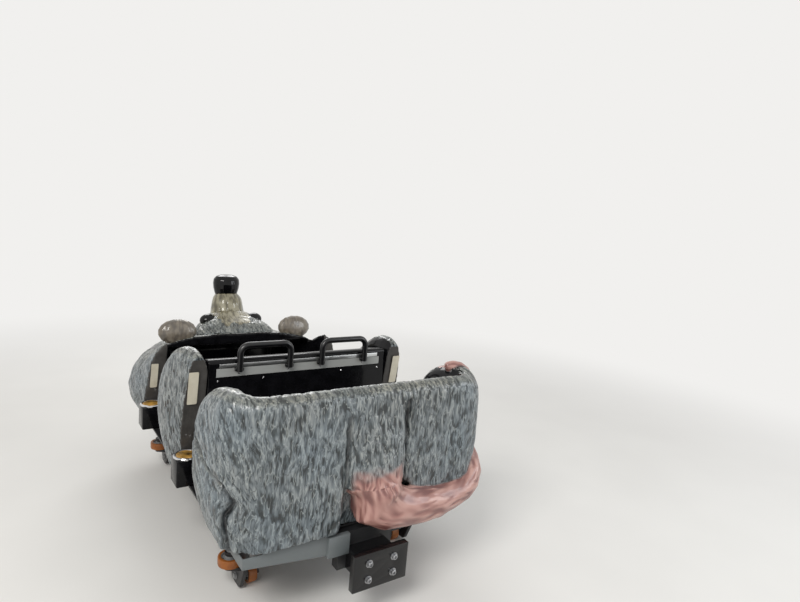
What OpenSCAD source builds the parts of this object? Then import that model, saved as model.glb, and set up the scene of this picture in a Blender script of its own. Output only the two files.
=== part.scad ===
// A single four-seat roller coaster car, two rows of two, on a two-rail track.
// Its moulded body is a big grey rodent lying forward: haunches and tail behind, wings beside
// the first row, and a raised snout in front. X is right, Y is the way it travels, Z is up.

/* [Body] */

// Half width of the body at its widest
body_half_w = 725; // [690:5:760]
// Half width of the rider space between the side walls
cabin_half_w = 560; // [530:5:580]
// Height of the lower edge of the moulded shells above the lowest wheel
shell_z = 400; // [390:2:420]
// From the car's middle back to the rear face of the rear shell
rear_reach = 1180; // [1150:5:1230]
// Height of the top of the rear shell's back wall
back_top = 1090; // [1050:5:1120]
// Height of the haunches' crest
hip_top = 1100; // [1080:5:1140]
// Height of the rolled edge along the back wall
back_roll = 60; // [40:2:80]
// Radius of the rear corners in plan
corner_r = 188; // [170:2:220]
// Thickness of the rear shell's back wall
back_wall = 120; // [100:2:140]
// How far the shells tuck in at the lower edge of the sides
tuck = 45; // [20:1:60]
// How far the rear shell tucks in at the lower edge of its back
back_tuck = 14; // [0:1:30]
// Front end of the rear shell's side walls, behind the car's middle
rear_gap_y = 664; // [640:2:700]

/* [Tail] */

// Middle of the tail's root, to the right of the car's middle
root_x = 10; // [0:1:20]
// Half width of the tail's root on the rear face
root_half_w = 157; // [140:1:170]
// How far the root stands out at its foot
root_out = 62; // [40:2:80]
// Lowest point of the right haunch's edge above the tail
haunch_edge = 532; // [520:2:560]
// Depth of the recess under the right haunch
haunch_recess = 66; // [50:2:70]
// Depth of the creases on both sides of the tail's root
crease = 36; // [10:1:40]
// Depth of the fold round each thigh
fold = 22; // [0:1:26]
// Half thickness of the tail under the haunch
tail_r = 76; // [66:1:84]
// Clearance between the tail and its seat in the shell
tail_gap = 0.3; // [0.3:0.1:1]

/* [Wings] */

// Rear face of the wings at the top, behind the car's middle
wing_rear = 370; // [365:5:400]
// How far the rear faces of wings and cowl lean forward down to the floor
face_lean = 110; // [60:5:140]
// Front edge of the wings, ahead of the car's middle
wing_front = 190; // [160:5:210]
// Height of the wings' crest
wing_top = 1102; // [1080:2:1140]
// How far the wings lean in at their rear face
wing_lean = 40; // [20:1:50]

/* [Cowl and head] */

// Rear face of the cowl at the top, ahead of the car's middle
cowl_rear = 490; // [470:5:520]
// Height of the cowl's side crest at its rear end
cowl_top = 985; // [970:1:1000]
// From the car's middle to the front of the chest
front_reach = 1320; // [1300:5:1350]
// Thickness of the cowl's walls
cowl_wall = 60; // [50:1:75]
// Height of the deck behind the head
deck_z = 930; // [915:1:940]
// Half width of the head's dome
head_half_w = 300; // [280:2:320]
// Radius of the eyes
eye_r = 50; // [46:1:56]
// Half width of the nose
nose_half_w = 100; // [90:1:106]
// Half height of the nose
nose_half_h = 92; // [84:1:98]
// Height of the middle of the nose
nose_z = 1218; // [1205:1:1230]
// From the car's middle line to the middle of each ear
ear_x = 435; // [420:5:450]
// Half width of each ear
ear_half_w = 130; // [115:1:140]

/* [Seats] */

// Rear face of the first row's seat back at its top, behind the car's middle
seat_rear = 350; // [340:2:360]
// Height of the first row's seat back
seat_top = 1045; // [1030:1:1060]
// Height of the second row's seat back
seat_top_2 = 1028; // [1010:1:1040]
// Thickness of the seat backs at the top
back_t = 84; // [70:1:96]
// Distance from the second row to the first
row_pitch = 780; // [770:2:790]
// Height of the bare seat pan
pan_z = 620; // [600:2:640]
// Thickness of the seat cushions
cushion = 80; // [60:2:90]
// Height of the grab handles on the first row's seat back
handle_top = 1142; // [1120:2:1160]
// Diameter of the grab handles' tube
handle_d = 34; // [28:1:40]

/* [Lap bars] */

// Height of the lap bars' hinges
bar_z = 470; // [460:2:490]
// From a row's seat back face, at the seat, forward to its lap bar's hinge
bar_reach = 590; // [575:5:600]
// From the hinge up to the middle of the lap pads
bar_rise = 410; // [390:5:430]
// From the hinge back to the middle of the lap pads
bar_back = 320; // [300:5:340]
// Diameter of the lap bar's tube
bar_d = 48; // [40:1:54]
// Diameter of the lap pads
pad_d = 90; // [80:1:100]

/* [Chassis] */

// From the car's middle to each axle
axle_y = 760; // [730:5:790]
// Half the track's gauge, to the middle of a rail
rail_x = 430; // [415:5:445]
// Diameter of the rails that the wheels run on
rail_d = 90; // [80:2:100]
// Diameter of the running wheels
run_d = 180; // [170:2:190]
// Width of the running wheels
run_w = 64; // [54:2:70]
// Diameter of the side guide wheels
guide_d = 120; // [110:2:130]
// Diameter of the up-stop wheels below the rail
stop_d = 100; // [90:2:110]
// Height of the two long frame tubes
tube_h = 70; // [60:2:76]
// Thickness of the floor pan
floor_t = 10; // [6:1:12]
// From the car's middle back to the face of the rear buffer plate
buffer_reach = 1290; // [1270:5:1310]
// Height of the middle of the buffer plates
buffer_z = 256; // [240:2:270]
// Bolt spacing on the buffer plate, across
bolt_dx = 136; // [120:2:140]
// Bolt spacing on the buffer plate, up and down
bolt_dz = 80; // [70:2:90]
// Diameter of the buffer plate's bolt holes
bolt_d = 17; // [13:1:20]

/* [Hidden] */

fur = [0.48, 0.50, 0.50];
black = [0.06, 0.06, 0.07];
steel = [0.30, 0.31, 0.33];
pink = [0.84, 0.56, 0.52];
cream = [0.80, 0.76, 0.66];

// Heights of the running gear, from the up-stop wheels' lowest point
fit = 0.08;
seat_gap = 0.3;
stop_gap = 3;
stop_z = stop_d / 2;
rail_z = stop_d + stop_gap + rail_d / 2;
run_z = rail_z + rail_d / 2 + run_d / 2;
guide_x = rail_x + rail_d / 2 + guide_d / 2;
floor_z = shell_z;
tube_z1 = floor_z - floor_t;
tube_z0 = tube_z1 - tube_h;
tube_x = 180;
axle_h = 80;

function lerp(a, b, t) = a + (b - a) * t;
function ease(t) = t <= 0 ? 0 : t >= 1 ? 1 : t * t * (3 - 2 * t);
function dome(t) = sqrt(max(0, 1 - t * t));
function unit(v) = v / norm(v);

// A solid through equal loops of points, its two ends closed by rungs from side to side
module loft(loops) {
  k = len(loops[0]);
  n = len(loops);
  polyhedron(points = [for (l = loops) each l], faces = concat(
    [for (i = [0:k / 2 - 2]) each [[k - 1 - i, k - 2 - i, i + 1], [k - 1 - i, i + 1, i]]],
    [for (j = [0:n - 2], i = [0:k - 1]) let (a = j * k + i, b = j * k + (i + 1) % k)
      each [[a, b, b + k], [a, b + k, a + k]]],
    [for (i = [0:k / 2 - 2], o = (n - 1) * k)
      each [[o + i, o + i + 1, o + k - 2 - i], [o + i, o + k - 2 - i, o + k - 1 - i]]]));
}

// A round tube swept along a flat path, side being the direction square to the path's plane
module swept_tube(pts, side, d, k = 14) loft([for (i = [0:len(pts) - 1]) let (
    t = unit(pts[min(i + 1, len(pts) - 1)] - pts[max(i - 1, 0)]), u = cross(unit(side), t))
  [for (j = [0:k - 1]) let (a = 360 * (j + 0.5) / k) pts[i] + d / 2 * (u * cos(a) - unit(side) * sin(a))]]);

// Points round a bend: middle c, first and last arms p and q, seen from c
function bend(c, p, q, n = 4) = [for (i = [0:n]) c + p * cos(90 * i / n) + q * sin(90 * i / n)];

module rod(a, b, d) {
  v = b - a;
  translate(a) rotate([0, acos(v[2] / norm(v)), atan2(v[1], v[0])])
    cylinder(d = d, h = norm(v), $fn = 32);
}

module both_sides() {
  children();
  mirror([1, 0, 0]) children();
}

/* Rear shell: one wall swept from the left front end round the back to the right one. */

corner_y = -rear_reach + corner_r;
corner_x = body_half_w - corner_r;
side_t = body_half_w - cabin_half_w;

// Front end of the rear shell's side wall at height z: fullest half way up, back at the foot
function rear_end(z) = -rear_gap_y - 125 * pow(max(0, (shell_z + 270 - z) / 270), 1.8)
  - 20 * ease((z - shell_z - 430) / 200);

// Columns: place on the path, from 1 at a front end to 0 at the rear corner, in degrees round
// the corner, or across the back
side_us = [1, 0.96, 0.88, 0.76, 0.6, 0.4, 0.2];
corner_as = [0, 12, 24, 36, 48, 60, 75];
back_shares = [-1, -0.84, -0.7, -0.56];
crease_xs = [90, 55, 25, 8];
root_shares = [-1, -0.95, -0.8, -0.55, -0.28, 0, 0.28, 0.55, 0.8, 0.95, 1];

root_l = root_x - root_half_w;
root_r = root_x + root_half_w;

// Columns: kind (0 side, 1 corner, 2 back), value, side of the car
rear_path = concat(
  [for (u = side_us) [0, u, -1]], [for (a = corner_as) [1, a, -1]],
  [for (x = back_shares) [2, x * corner_x, -1]], [for (x = crease_xs) [2, root_l - x, -1]],
  [for (x = root_shares) [2, root_x + x * root_half_w, 0]],
  [for (i = [3:-1:0]) [2, root_r + crease_xs[i], 1]],
  [for (i = [3:-1:0]) [2, -back_shares[i] * corner_x, 1]],
  [for (i = [6:-1:0]) [1, corner_as[i], 1]], [for (i = [6:-1:0]) [0, side_us[i], 1]]);

function crest(s) = s[0] == 2 ? back_top
  : s[0] == 1 ? lerp(hip_top, back_top, ease((s[1] - 20) / 60))
  : hip_top - lookup(s[1], [[0, 0], [0.36, 24], [0.6, 50], [0.76, 82], [0.88, 128], [0.96, 190], [1, 240]]);
function roll(s) = s[0] == 2 ? back_roll
  : s[0] == 1 ? lerp(112, back_roll, ease(s[1] / 90)) : 112;
function wall_t(s) = s[0] == 2 ? back_wall
  : s[0] == 1 ? lerp(side_t, back_wall, s[1] / 90) : side_t;

// Height of the fold round the thigh on the sides and corners
function thigh_z(s) = s[0] == 0 ? lookup(s[1], [[0, 702], [0.36, 758], [0.88, 817], [1, 826]])
  : lookup(s[1], s[2] < 0 ? [[0, 702], [24, 645], [45, 560], [57, 450], [75, shell_z + 40]]
      : [[0, 702], [24, 642], [45, 594], [75, haunch_edge + 16], [90, haunch_edge]]);

// Height of the lower edge of the haunches and the root
function edge_z(s) = s[0] < 2 ? thigh_z(s) : s[2] < 0 ? shell_z + 40
  : s[2] == 0 ? haunch_edge + 90 : haunch_edge + 80 * pow(max(0, (420 - s[1]) / (420 - root_r)), 2);

// How far the wall is set back below the root and the right haunch, and in the thighs' folds
function recess(s) = s[2] < 0 ? 0 : s[0] > 0 ? haunch_recess : haunch_recess * (1 - ease(s[1] / 0.6));
function thigh_fold(s, z) = s[0] == 2 ? 0 : let (
    slope = s[0] == 0 ? 0.5 : s[2] > 0 ? 1 : 1 + 2.4 * ease((s[1] - 24) / 24))
  fold * exp(-pow((z - thigh_z(s)) / (42 * slope), 2)) * (s[0] == 1 ? 1 - ease((s[1] - 57) / 25) : 1);

// Swell of the root down to its foot, and the creases that part it from the haunches
function root_swell(x, z) = let (t = (x - root_x) / root_half_w,
    right = crease * ease((back_top - 60 - z) / 90), left = crease * 0.45 * ease((back_top - 110 - z) / 90))
  abs(t) <= 1 ? root_out * ease((back_top - 110 - z) / 330) * dome(t)
      - right * pow(max(0, t), 8) - left * pow(max(0, -t), 8)
    : let (far = min(1, (abs(x - root_x) - root_half_w) / 90))
      -(t > 0 ? right : left) * (1 - dome(1 - far));

function place(s, n, z) = s[0] == 2 ? [s[1], -rear_reach - n, z]
  : s[0] == 1 ? [s[2] * (corner_x + (corner_r + n) * cos(s[1])),
      corner_y - (corner_r + n) * sin(s[1]), z]
  : let (end = ease((s[1] - 0.8) / 0.2)) [s[2] * (body_half_w + n + (n > -side_t / 2 ? -14 : 14) * end),
      lerp(corner_y, rear_end(z), s[1]), z];

function rear_loop(s) = let (z1 = crest(s), r = roll(s), t = wall_t(s), e = edge_z(s), low = shell_z,
    foot = s[0] == 2 ? back_tuck : s[0] == 1 ? lerp(tuck, back_tuck, s[1] / 90) : tuck)
  [for (p = concat(
    [for (i = [0:4]) let (z = lerp(low, e - (s[2] == 0 ? 1 : 14), i / 4))
      [-foot * pow(1 - min(1, (z - low) / 260), 2) - recess(s), z]],
    [for (i = [0:8]) let (z = lerp(e, z1 - r, i / 8))
      [-foot * pow(1 - min(1, (z - low) / 260), 2) - 10 * pow(i / 8, 3), z]],
    [for (a = [22.5:22.5:157.5]) [-t / 2 - 5 + (t / 2 - 5) * cos(a), z1 - r + r * sin(a)]],
    [for (i = [4:-1:0]) [-t, lerp(low, z1 - r, i / 4)]]))
    place(s, p[0] + (p[0] < -t + 1 ? 0 : s[0] < 2 ? -thigh_fold(s, p[1])
      : s[2] == 0 && p[1] < e - 1 ? 0 : root_swell(s[1], p[1])), p[1])];

module rear_wall() loft([for (s = rear_path) rear_loop(s)]);

// Columns: x, y and z of the tail's middle, half widths in the plane of the bend and out of it
root_y = -rear_reach;
turn_x = corner_x;
tail_path = concat(
  [[root_x, root_y + 18, haunch_edge + 89 - 0.5 - tail_gap, root_half_w - 4, 78],
    [root_x, root_y + 10, haunch_edge + 50, root_half_w - 4, 86],
    [root_x + 8, root_y, haunch_edge + 4, root_half_w - 22, 98],
    [root_x + 76, root_y - 8, haunch_edge - 36, root_half_w - 42, 98],
    [root_r, root_y - 16, haunch_edge - 52, tail_r + 22, 90],
    [root_r + 100, root_y - 20, haunch_edge - 66, tail_r + 14, tail_r + 6],
    [root_r + 200, root_y - 20, haunch_edge - 72, tail_r + 4, tail_r],
    [root_r + 290, root_y - 12, haunch_edge - 64, tail_r - 6, tail_r - 8]],
  [for (q = [[84, 186, -50, 65], [65, 184, -28, 61], [46, 183, 10, 58],
      [27, 170, 58, 55], [7, 156, 114, 52]])
    [turn_x + q[1] * cos(q[0]), corner_y - q[1] * sin(q[0]), haunch_edge + q[2], q[3], q[3]]],
  [for (q = [[-34, 30, 190, 48], [-35, 58, 270, 46], [-33, 58, 350, 43], [-28, 40, 424, 39],
      [-26, 28, 480, 36], [-44, 26, 524, 34], [-78, 32, 552, 31], [-118, 44, 560, 28], [-156, 60, 554, 22]])
    [body_half_w + q[0], corner_y + q[1], haunch_edge + q[2], q[3], q[3]]]);

module tail_piece(grow) {
  for (i = [0:len(tail_path) - 2]) hull() for (j = [i, i + 1]) let (p = tail_path[j],
      a = tail_path[max(0, j - 1)], b = tail_path[min(len(tail_path) - 1, j + 1)],
      v = j == 0 ? [0, 0, -1] : [b[0] - a[0], b[1] - a[1], b[2] - a[2]])
    translate([p[0], p[1], p[2]]) rotate([0, acos(v[2] / norm(v)), atan2(v[1], v[0])])
      scale([p[3] + grow, p[4] + grow, 1]) cylinder(r = 1, h = 1, center = true, $fn = 20);
}

module rear_shell() color(fur) difference() {
  rear_wall();
  tail_piece(tail_gap);
}

module tail() color(pink) difference() {
  tail_piece(0);
  translate([root_l, root_y + back_wall - 2, shell_z])
    cube([2 * root_half_w, 100, haunch_edge + 100 - shell_z]);
}

/* Wings beside the first row: leaf-shaped, flat behind, narrow at the foot. */

function wing_back(z) = -wing_rear + face_lean * pow(max(0, (wing_top - 90 - z) / 600), 1.2);
function wing_nose(z) = wing_front - 190 * pow(max(0, (shell_z + 420 - z) / 420), 1.5)
  - 40 * ease((z - shell_z - 450) / 160);
function wing_crest(u) = wing_top - 26 * pow(max(0, (0.2 - u) / 0.2), 2)
  - 330 * pow(max(0, (u - 0.2) / 0.8), 2.1);

function wing_loop(u) = let (z1 = wing_crest(u), low = shell_z, r = lerp(96, 80, u), t = side_t,
    out = -wing_lean * (1 - ease(u / 0.5)) - 28 * pow(u, 4) - 10 * pow(1 - min(1, u / 0.08), 2))
  [for (p = concat(
    [for (i = [0:9]) let (z = lerp(low, z1 - r, i / 9))
      [-tuck * pow(1 - min(1, (z - low) / 300), 2) - 20 * pow(i / 9, 4) + out, z]],
    [for (a = [18:24:162]) [(out - 20 - t) / 2 + (t + out - 20) / 2 * cos(a),
      z1 - r + r * sin(a)]],
    [[-t, z1 - r], [-t, lerp(low, z1 - r, 0.66)], [-t, lerp(low, z1 - r, 0.33)]]))
    [body_half_w + p[0], lerp(wing_back(p[1]), wing_nose(p[1]), u), p[1]]];

module wing() loft([for (u = [0, 0.03, 0.1, 0.2, 0.32, 0.45, 0.58, 0.7, 0.81, 0.9, 0.96, 1])
  wing_loop(u)]);

module wing_right() color(fur) wing();
module wing_left() color(fur) mirror([1, 0, 0]) wing();

/* Front shell: cowl sides, deck behind the head, chest. */

// Columns: share of the way from the cowl's rear face to the chest, and there the half width,
// the height of the crown and how square the shoulders are
function cowl_w(v) = lookup(v, [[0, body_half_w - 40], [0.25, body_half_w - 17], [0.5, body_half_w - 13],
  [0.6, body_half_w - 20], [0.7, body_half_w - 45], [0.82, body_half_w - 135], [0.92, body_half_w - 275],
  [0.98, body_half_w - 415], [1, body_half_w - 500]]);
function cowl_h(v) = lookup(v, [[0, cowl_top], [0.15, cowl_top - 18], [0.29, deck_z], [0.57, deck_z],
  [0.75, deck_z - 30], [0.88, deck_z - 90], [0.96, deck_z - 165], [1, deck_z - 235]]);
function cowl_square(v) = lookup(v, [[0, 6], [0.15, 4.2], [0.3, 3], [0.5, 2.3], [1, 2.2]]);
chest_tuck = 150;
function cowl_back(z) = cowl_rear + face_lean * pow(max(0, (cowl_top - 70 - z) / 500), 1.2);
function cowl_y(v, z) =
  lerp(cowl_back(z), front_reach - chest_tuck * pow(max(0, (shell_z + 250 - z) / 250), 2), v);

shoulder_as = [0, 14, 27, 39, 50, 60, 69, 77, 84];

// Half of the section: the foot, the widest line, then a squared shoulder up to the crown
function cowl_half(v, grow) = let (w = cowl_w(v) + grow, h = cowl_h(v) + grow, zw = shell_z + 150,
    n = cowl_square(v), low = shell_z)
  concat([[0.93 * w, low], [0.985 * w, low + 65]],
    [for (a = shoulder_as) let (t = pow(sin(a), 2 / n))
      [w * (1 - 0.05 * t) * pow(cos(a), 2 / n), lerp(zw, h, t)]]);

function cowl_ring(v, grow) = let (half = cowl_half(v, grow), k = len(half))
  [for (p = concat([for (q = half) [-q[0], q[1]]], [for (i = [k - 1:-1:0]) half[i]]))
    [p[0], cowl_y(v, p[1]) + (v == 1 ? grow : 0), p[1]]];

vs = [1, 0.99, 0.96, 0.92, 0.86, 0.78, 0.68, 0.57, 0.43, 0.29, 0.15, 0.07, 0];

module cowl_skin(grow) loft([for (v = vs) cowl_ring(v, grow)]);

dash_y = cowl_rear + 215;
well = front_reach - chest_tuck - cowl_wall - dash_y;

// Columns of the footwell: how far ahead of the deck's rear edge, half width, height of its roof
footwell = [[-1, cabin_half_w, deck_z - cowl_wall - 10],
  [0.62 * well, cabin_half_w - 40, deck_z - cowl_wall - 30],
  [well, cowl_w(0.92) - cowl_wall, deck_z - cowl_wall - 150]];

module front_shell() color(fur) difference() {
  cowl_skin(0);
  translate([-cabin_half_w, cowl_rear - 60, shell_z - 1])
    cube([2 * cabin_half_w, dash_y - cowl_rear + 60, cowl_top]);
  hull() for (f = footwell) translate([-f[1], dash_y + f[0], shell_z - 1])
    cube([2 * f[1], 1, f[2] - shell_z]);
}

/* Head: a bent loft from the neck over the dome, and the raised snout that stands on it. */

// Columns: y, z, half width, half depth, slope of the section from upright
snout_y = dash_y + 345;
head_path = [[dash_y + 20, deck_z - 65, 0.86 * head_half_w, 40, 0],
  [dash_y + 70, deck_z - 45, 0.97 * head_half_w, 75, 5], [dash_y + 130, deck_z - 30, head_half_w, 95, 12],
  [dash_y + 200, deck_z - 15, 0.96 * head_half_w, 108, 22],
  [dash_y + 265, deck_z + 8, 0.84 * head_half_w, 118, 38],
  [dash_y + 315, deck_z + 45, 0.66 * head_half_w, 122, 55],
  [snout_y, deck_z + 85, 0.5 * head_half_w, 118, 70]];

function oval(p, k) = [for (i = [0:k - 1]) let (a = 360 * (i + 0.5) / k)
  [-p[2] * sin(a), p[0] - p[3] * cos(a) * sin(p[4]), p[1] + p[3] * cos(a) * cos(p[4])]];

eye_at = [176, dash_y + 240, deck_z + 58];

module eye(grow) translate(eye_at) scale([1.2, 1, 0.95]) sphere(r = eye_r + grow, $fn = 32);

module head() color(fur) difference() {
  loft([for (p = head_path) oval(p, 20)]);
  cowl_skin(seat_gap);
  both_sides() eye(seat_gap);
}

// Same columns, from the head's upper end to the nose
muzzle_path = [[snout_y + seat_gap * cos(70), deck_z + 85 + seat_gap * sin(70), 128, 112, 70],
  [snout_y + 10, deck_z + 125, 122, 106, 78], [snout_y + 14, deck_z + 170, 115, 100, 84],
  [snout_y + 18, deck_z + 205, 106, 92, 90], [snout_y + 22, deck_z + 228, 92, 78, 92],
  [snout_y + 26, deck_z + 252, 66, 54, 94]];

module muzzle() color(cream) difference() {
  loft([for (p = muzzle_path) oval(p, 18)]);
  nose_ball(seat_gap);
}

// Columns: height from the middle and half width, both as shares; half depth as a share
nose_rings = [[-1, 0.5, 0.42], [-0.84, 0.74, 0.64], [-0.5, 0.86, 0.78], [-0.1, 0.96, 0.86], [0.3, 1, 0.88],
  [0.64, 0.96, 0.8], [0.88, 0.78, 0.6], [1, 0.42, 0.3]];

module nose_ball(grow) translate([0, snout_y + 50, nose_z]) loft([for (q = nose_rings)
  oval([0, q[0] * (nose_half_h + grow), q[1] * nose_half_w + grow, q[2] * nose_half_w + grow, 90], 20)]);

module nose() color(black) nose_ball(0);

module eyes() color(black) both_sides() eye(0);

// Columns: share of the ear's size, how far forward of its middle
ear_rings = [[0.22, -38], [0.55, -34], [0.84, -22], [1, -2], [1, 8], [0.93, 13], [0.86, 7],
  [0.68, -8], [0.4, -17], [0.15, -20]];
ear_half_h = 89;
module ear() translate([ear_x, dash_y + 60, deck_z + 22]) rotate([-12, 0, 0])
  loft([for (r = ear_rings) [for (j = [0:15]) let (a = 22.5 * j + 11.25)
    [-ear_half_w * r[0] * sin(a), r[1], ear_half_h * r[0] * cos(a)]]]);

module ears() color(fur) difference() {
  both_sides() ear();
  cowl_skin(seat_gap);
}

/* Seats. */

// Face of a row's seat back at the seat
function row_y(r) = -seat_rear + 170 - (r - 1) * row_pitch;
back_ys = [-seat_rear, -rear_reach + back_wall + seat_gap];
tops = [seat_top, seat_top_2];
seat_half_w = cabin_half_w - 6;

// Lower and upper end of the face that the rider leans on
function face_foot(r) = [row_y(r), pan_z + 30];
function face_head(r) = [back_ys[r - 1] + back_t, tops[r - 1] - 40];

module seat_row(r) color(black) {
  y0 = row_y(r);
  back = back_ys[r - 1];
  top = tops[r - 1];
  translate([-seat_half_w, 0, 0]) rotate([90, 0, 90]) linear_extrude(2 * seat_half_w)
    polygon([[y0 + 340, pan_z], [y0 + 355, pan_z - 20], [y0 + 355, floor_z], [y0 + 330, floor_z],
      [y0 + 330, pan_z - 45], [max(y0 - 40, back + 62), pan_z - 60], [back + 55, floor_z + 60],
      [back + 55, floor_z], [back + 25, floor_z], [back, pan_z + 60], [back, top - 18],
      [back + 7, top - 5], [back + 22, top], [back + back_t - 24, top - 3], [back + back_t - 6, top - 15],
      face_head(r), face_foot(r), [y0 + 12, pan_z]]);
  for (s = [-1, 1]) translate([s * (seat_half_w - 22) - 22, 0, 0]) rotate([90, 0, 90]) linear_extrude(44)
    polygon([[y0 + 300, pan_z - 10], [y0 + 290, pan_z + 120], [y0 + 120, pan_z + 190],
      [y0 + 30, top - 130], [back + back_t + 30, top - 60], [back + back_t - 10, top - 30],
      [back + 40, top - 30], [back + 40, pan_z + 20], [y0, pan_z - 10]]);
}

module seat_row_1() seat_row(1);

// The second row fits into the rounded inner corners of the rear shell
module seat_row_2() color(black) intersection() {
  seat_row(2);
  linear_extrude(seat_top_2 + 10) hull() for (q = [[seat_half_w, 46], [seat_half_w - 36, 0]])
    translate([-q[0], back_ys[1] + q[1]]) square([2 * q[0], 420]);
}

// A pad with rounded edges on a run of middles: half width, thickness, way up
module pad(x, half, thick, path, up) translate([x, 0, 0]) loft([for (i = [0:len(path) - 1])
  let (e = i == 0 || i == len(path) - 1 ? 0.6 : 1, w = half - (1 - e) * 30, p = path[i])
  [for (q = [[w, -0.5 * e], [w, 0.5 * e], [w - 18, 0.92 * e], [0, e], [-w + 18, 0.92 * e], [-w, 0.5 * e],
      [-w, -0.5 * e], [-w + 18, -1 * e], [0, -1 * e], [w - 18, -1 * e]])
    [q[0], p[0] + up[0] * thick / 2 * q[1], p[1] + up[1] * thick / 2 * q[1]]]]);

back_pad = 44;

module seat_cushions() color([0.10, 0.10, 0.11]) for (r = [1, 2], s = [-1, 1]) {
  y0 = row_y(r);
  z = pan_z + seat_gap + cushion / 2;
  run = unit(face_head(r) - face_foot(r));
  out = [run[1], -run[0]];
  foot = face_foot(r) + run * 74 + out * (back_pad / 2 + seat_gap);
  head = face_head(r) - run * 22 + out * (back_pad / 2 + seat_gap);
  pad(s * 285, 215, cushion, [for (y = [44, 62, 190, 312, 330]) [y0 + y, z]], [0, 1]);
  pad(s * 285, 215, back_pad, [for (t = [1, 0.95, 0.5, 0.05, 0]) lerp(foot, head, t)], out);
}

trim_t = 4;
trim_z = seat_top - 44;
module seat_trim() color([0.75, 0.76, 0.77])
  translate([-seat_half_w + 60, -seat_rear - trim_t, trim_z])
    cube([2 * seat_half_w - 120, trim_t, 22]);

// The handles' feet are bolted to the seat back just below the strip
handle_y = -seat_rear - trim_t - seat_gap - handle_d / 2;
handle_foot = seat_top - 62;
foot_h = trim_z - seat_gap - handle_foot;

module grab_handles() color(black) both_sides() {
  r = 45;
  z = handle_top - handle_d / 2 - r;
  swept_tube(concat([[100, handle_y, handle_foot]],
    bend([100 + r, handle_y, z], [-r, 0, 0], [0, 0, r]), bend([390 - r, handle_y, z], [0, 0, r], [r, 0, 0]),
    [[390, handle_y, handle_foot]]), [0, 1, 0], handle_d);
  for (x = [100, 390]) translate([x - 24, handle_y, handle_foot]) cube([48, -seat_rear - handle_y, foot_h]);
}

/* Posts and lamps at the front end of each entry. */

// Width of a post, between the cabin's side and the body's, and its distance from both
post_in = 33;
post_out = 8;
post_w = side_t - post_in - post_out;
post_x = cabin_half_w + post_in + post_w / 2;
post_h = 144;
// Rear faces of wings and cowl at the lamps' height, and the lamps' middles behind them
lamp_back = post_w / 2 + 14;
lamp_ys = [for (y = [wing_back(shell_z + 150), cowl_back(shell_z + 150)]) y - lamp_back];

module sill_posts() color(black) both_sides() for (y = lamp_ys)
  translate([post_x - post_w / 2, y - post_w / 2, floor_z]) cube([post_w, post_w, post_h]);

module sill_lamps() color([0.8, 0.78, 0.7]) both_sides() for (y = lamp_ys)
  translate([post_x, y, floor_z + post_h]) {
    cylinder(r = post_w / 2 + 4, h = 10, $fn = 64);
    cylinder(r = post_w / 2 - 12, h = 16, $fn = 64);
  }

/* Lap bars: a post hinged on the floor, a cross tube and two pads. */

function bar_y(r) = row_y(r) + bar_reach;

module lap_bar(r) color(steel) translate([0, bar_y(r), bar_z]) {
  difference() {
    rotate([0, 90, 0]) cylinder(d = 56, h = 70, center = true, $fn = 48);
    rotate([0, 90, 0]) cylinder(d = 24 + 2 * fit, h = 72, center = true, $fn = 48);
  }
  difference() {
    rod([0, 0, 0], [0, -bar_back, bar_rise], bar_d);
    rotate([0, 90, 0]) cylinder(d = 30, h = 72, center = true, $fn = 48);
  }
  rod([-470, -bar_back, bar_rise], [470, -bar_back, bar_rise], 34);
}

module lap_pads(r) color([0.09, 0.09, 0.10]) translate([0, bar_y(r) - bar_back, bar_z + bar_rise])
  for (x = [-440, 60]) translate([x, 0, 0]) rotate([0, 90, 0]) rotate_extrude($fn = 48)
    polygon([[17.2, 0], [pad_d / 2 - 14, 0], [pad_d / 2 - 3, 9], [pad_d / 2, 24], [pad_d / 2, 356],
      [pad_d / 2 - 3, 371], [pad_d / 2 - 14, 380], [17.2, 380]]);

module bar_bases() color(steel) for (r = [1, 2]) translate([0, bar_y(r), 0]) {
  translate([-60, -60, floor_z]) cube([120, 94, 12]);
  for (s = [-1, 1]) hull() {
    translate([s * 46 - 8, -36, floor_z + 11]) cube([16, 66, 1]);
    translate([s * 46 - 8, 0, bar_z]) rotate([0, 90, 0]) cylinder(d = 50, h = 16, $fn = 32);
  }
  translate([0, 0, bar_z]) rotate([0, 90, 0]) cylinder(d = 24, h = 108, center = true, $fn = 48);
}

module lap_bar_1() lap_bar(1);
module lap_bar_2() lap_bar(2);
module lap_pads_1() lap_pads(1);
module lap_pads_2() lap_pads(2);

/* Chassis: two long tubes, the beams between and outside them, and the pan on top. */

frame_rear = buffer_reach - 150;
frame_front = front_reach - 110;
front_buffer_y = frame_front + 130;
tube_in = tube_x - 30;
beam_ys = [-axle_y - 160, -axle_y + 160, -400, 0, 400, axle_y - 160, axle_y + 160];
arm_ys = [-frame_rear + 130, -axle_y / 2, axle_y / 2, frame_front - 130];

module frame_tubes() color(steel) for (s = [-1, 1])
  translate([s * tube_x - 30, -frame_rear, tube_z0]) cube([60, frame_rear + frame_front, tube_h]);

pan_half_w = body_half_w - 75;
pan_rear = rear_reach - 80;
arm_reach = pan_half_w - 90;

module cross_members() color(steel) {
  for (y = beam_ys) translate([-tube_in, y - 25, tube_z0 + 6]) cube([2 * tube_in, 50, tube_h - 12]);
  for (y = [-frame_rear, frame_front - 50]) translate([-tube_in, y, buffer_z - 60])
    cube([2 * tube_in, 50, tube_z1 - 6 - buffer_z + 60]);
  for (y = arm_ys, s = [-1, 1])
    translate([s > 0 ? tube_x + 30 : -arm_reach, y - 20, tube_z1 - 40])
      cube([arm_reach - tube_x - 30, 40, 40]);
}

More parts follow.
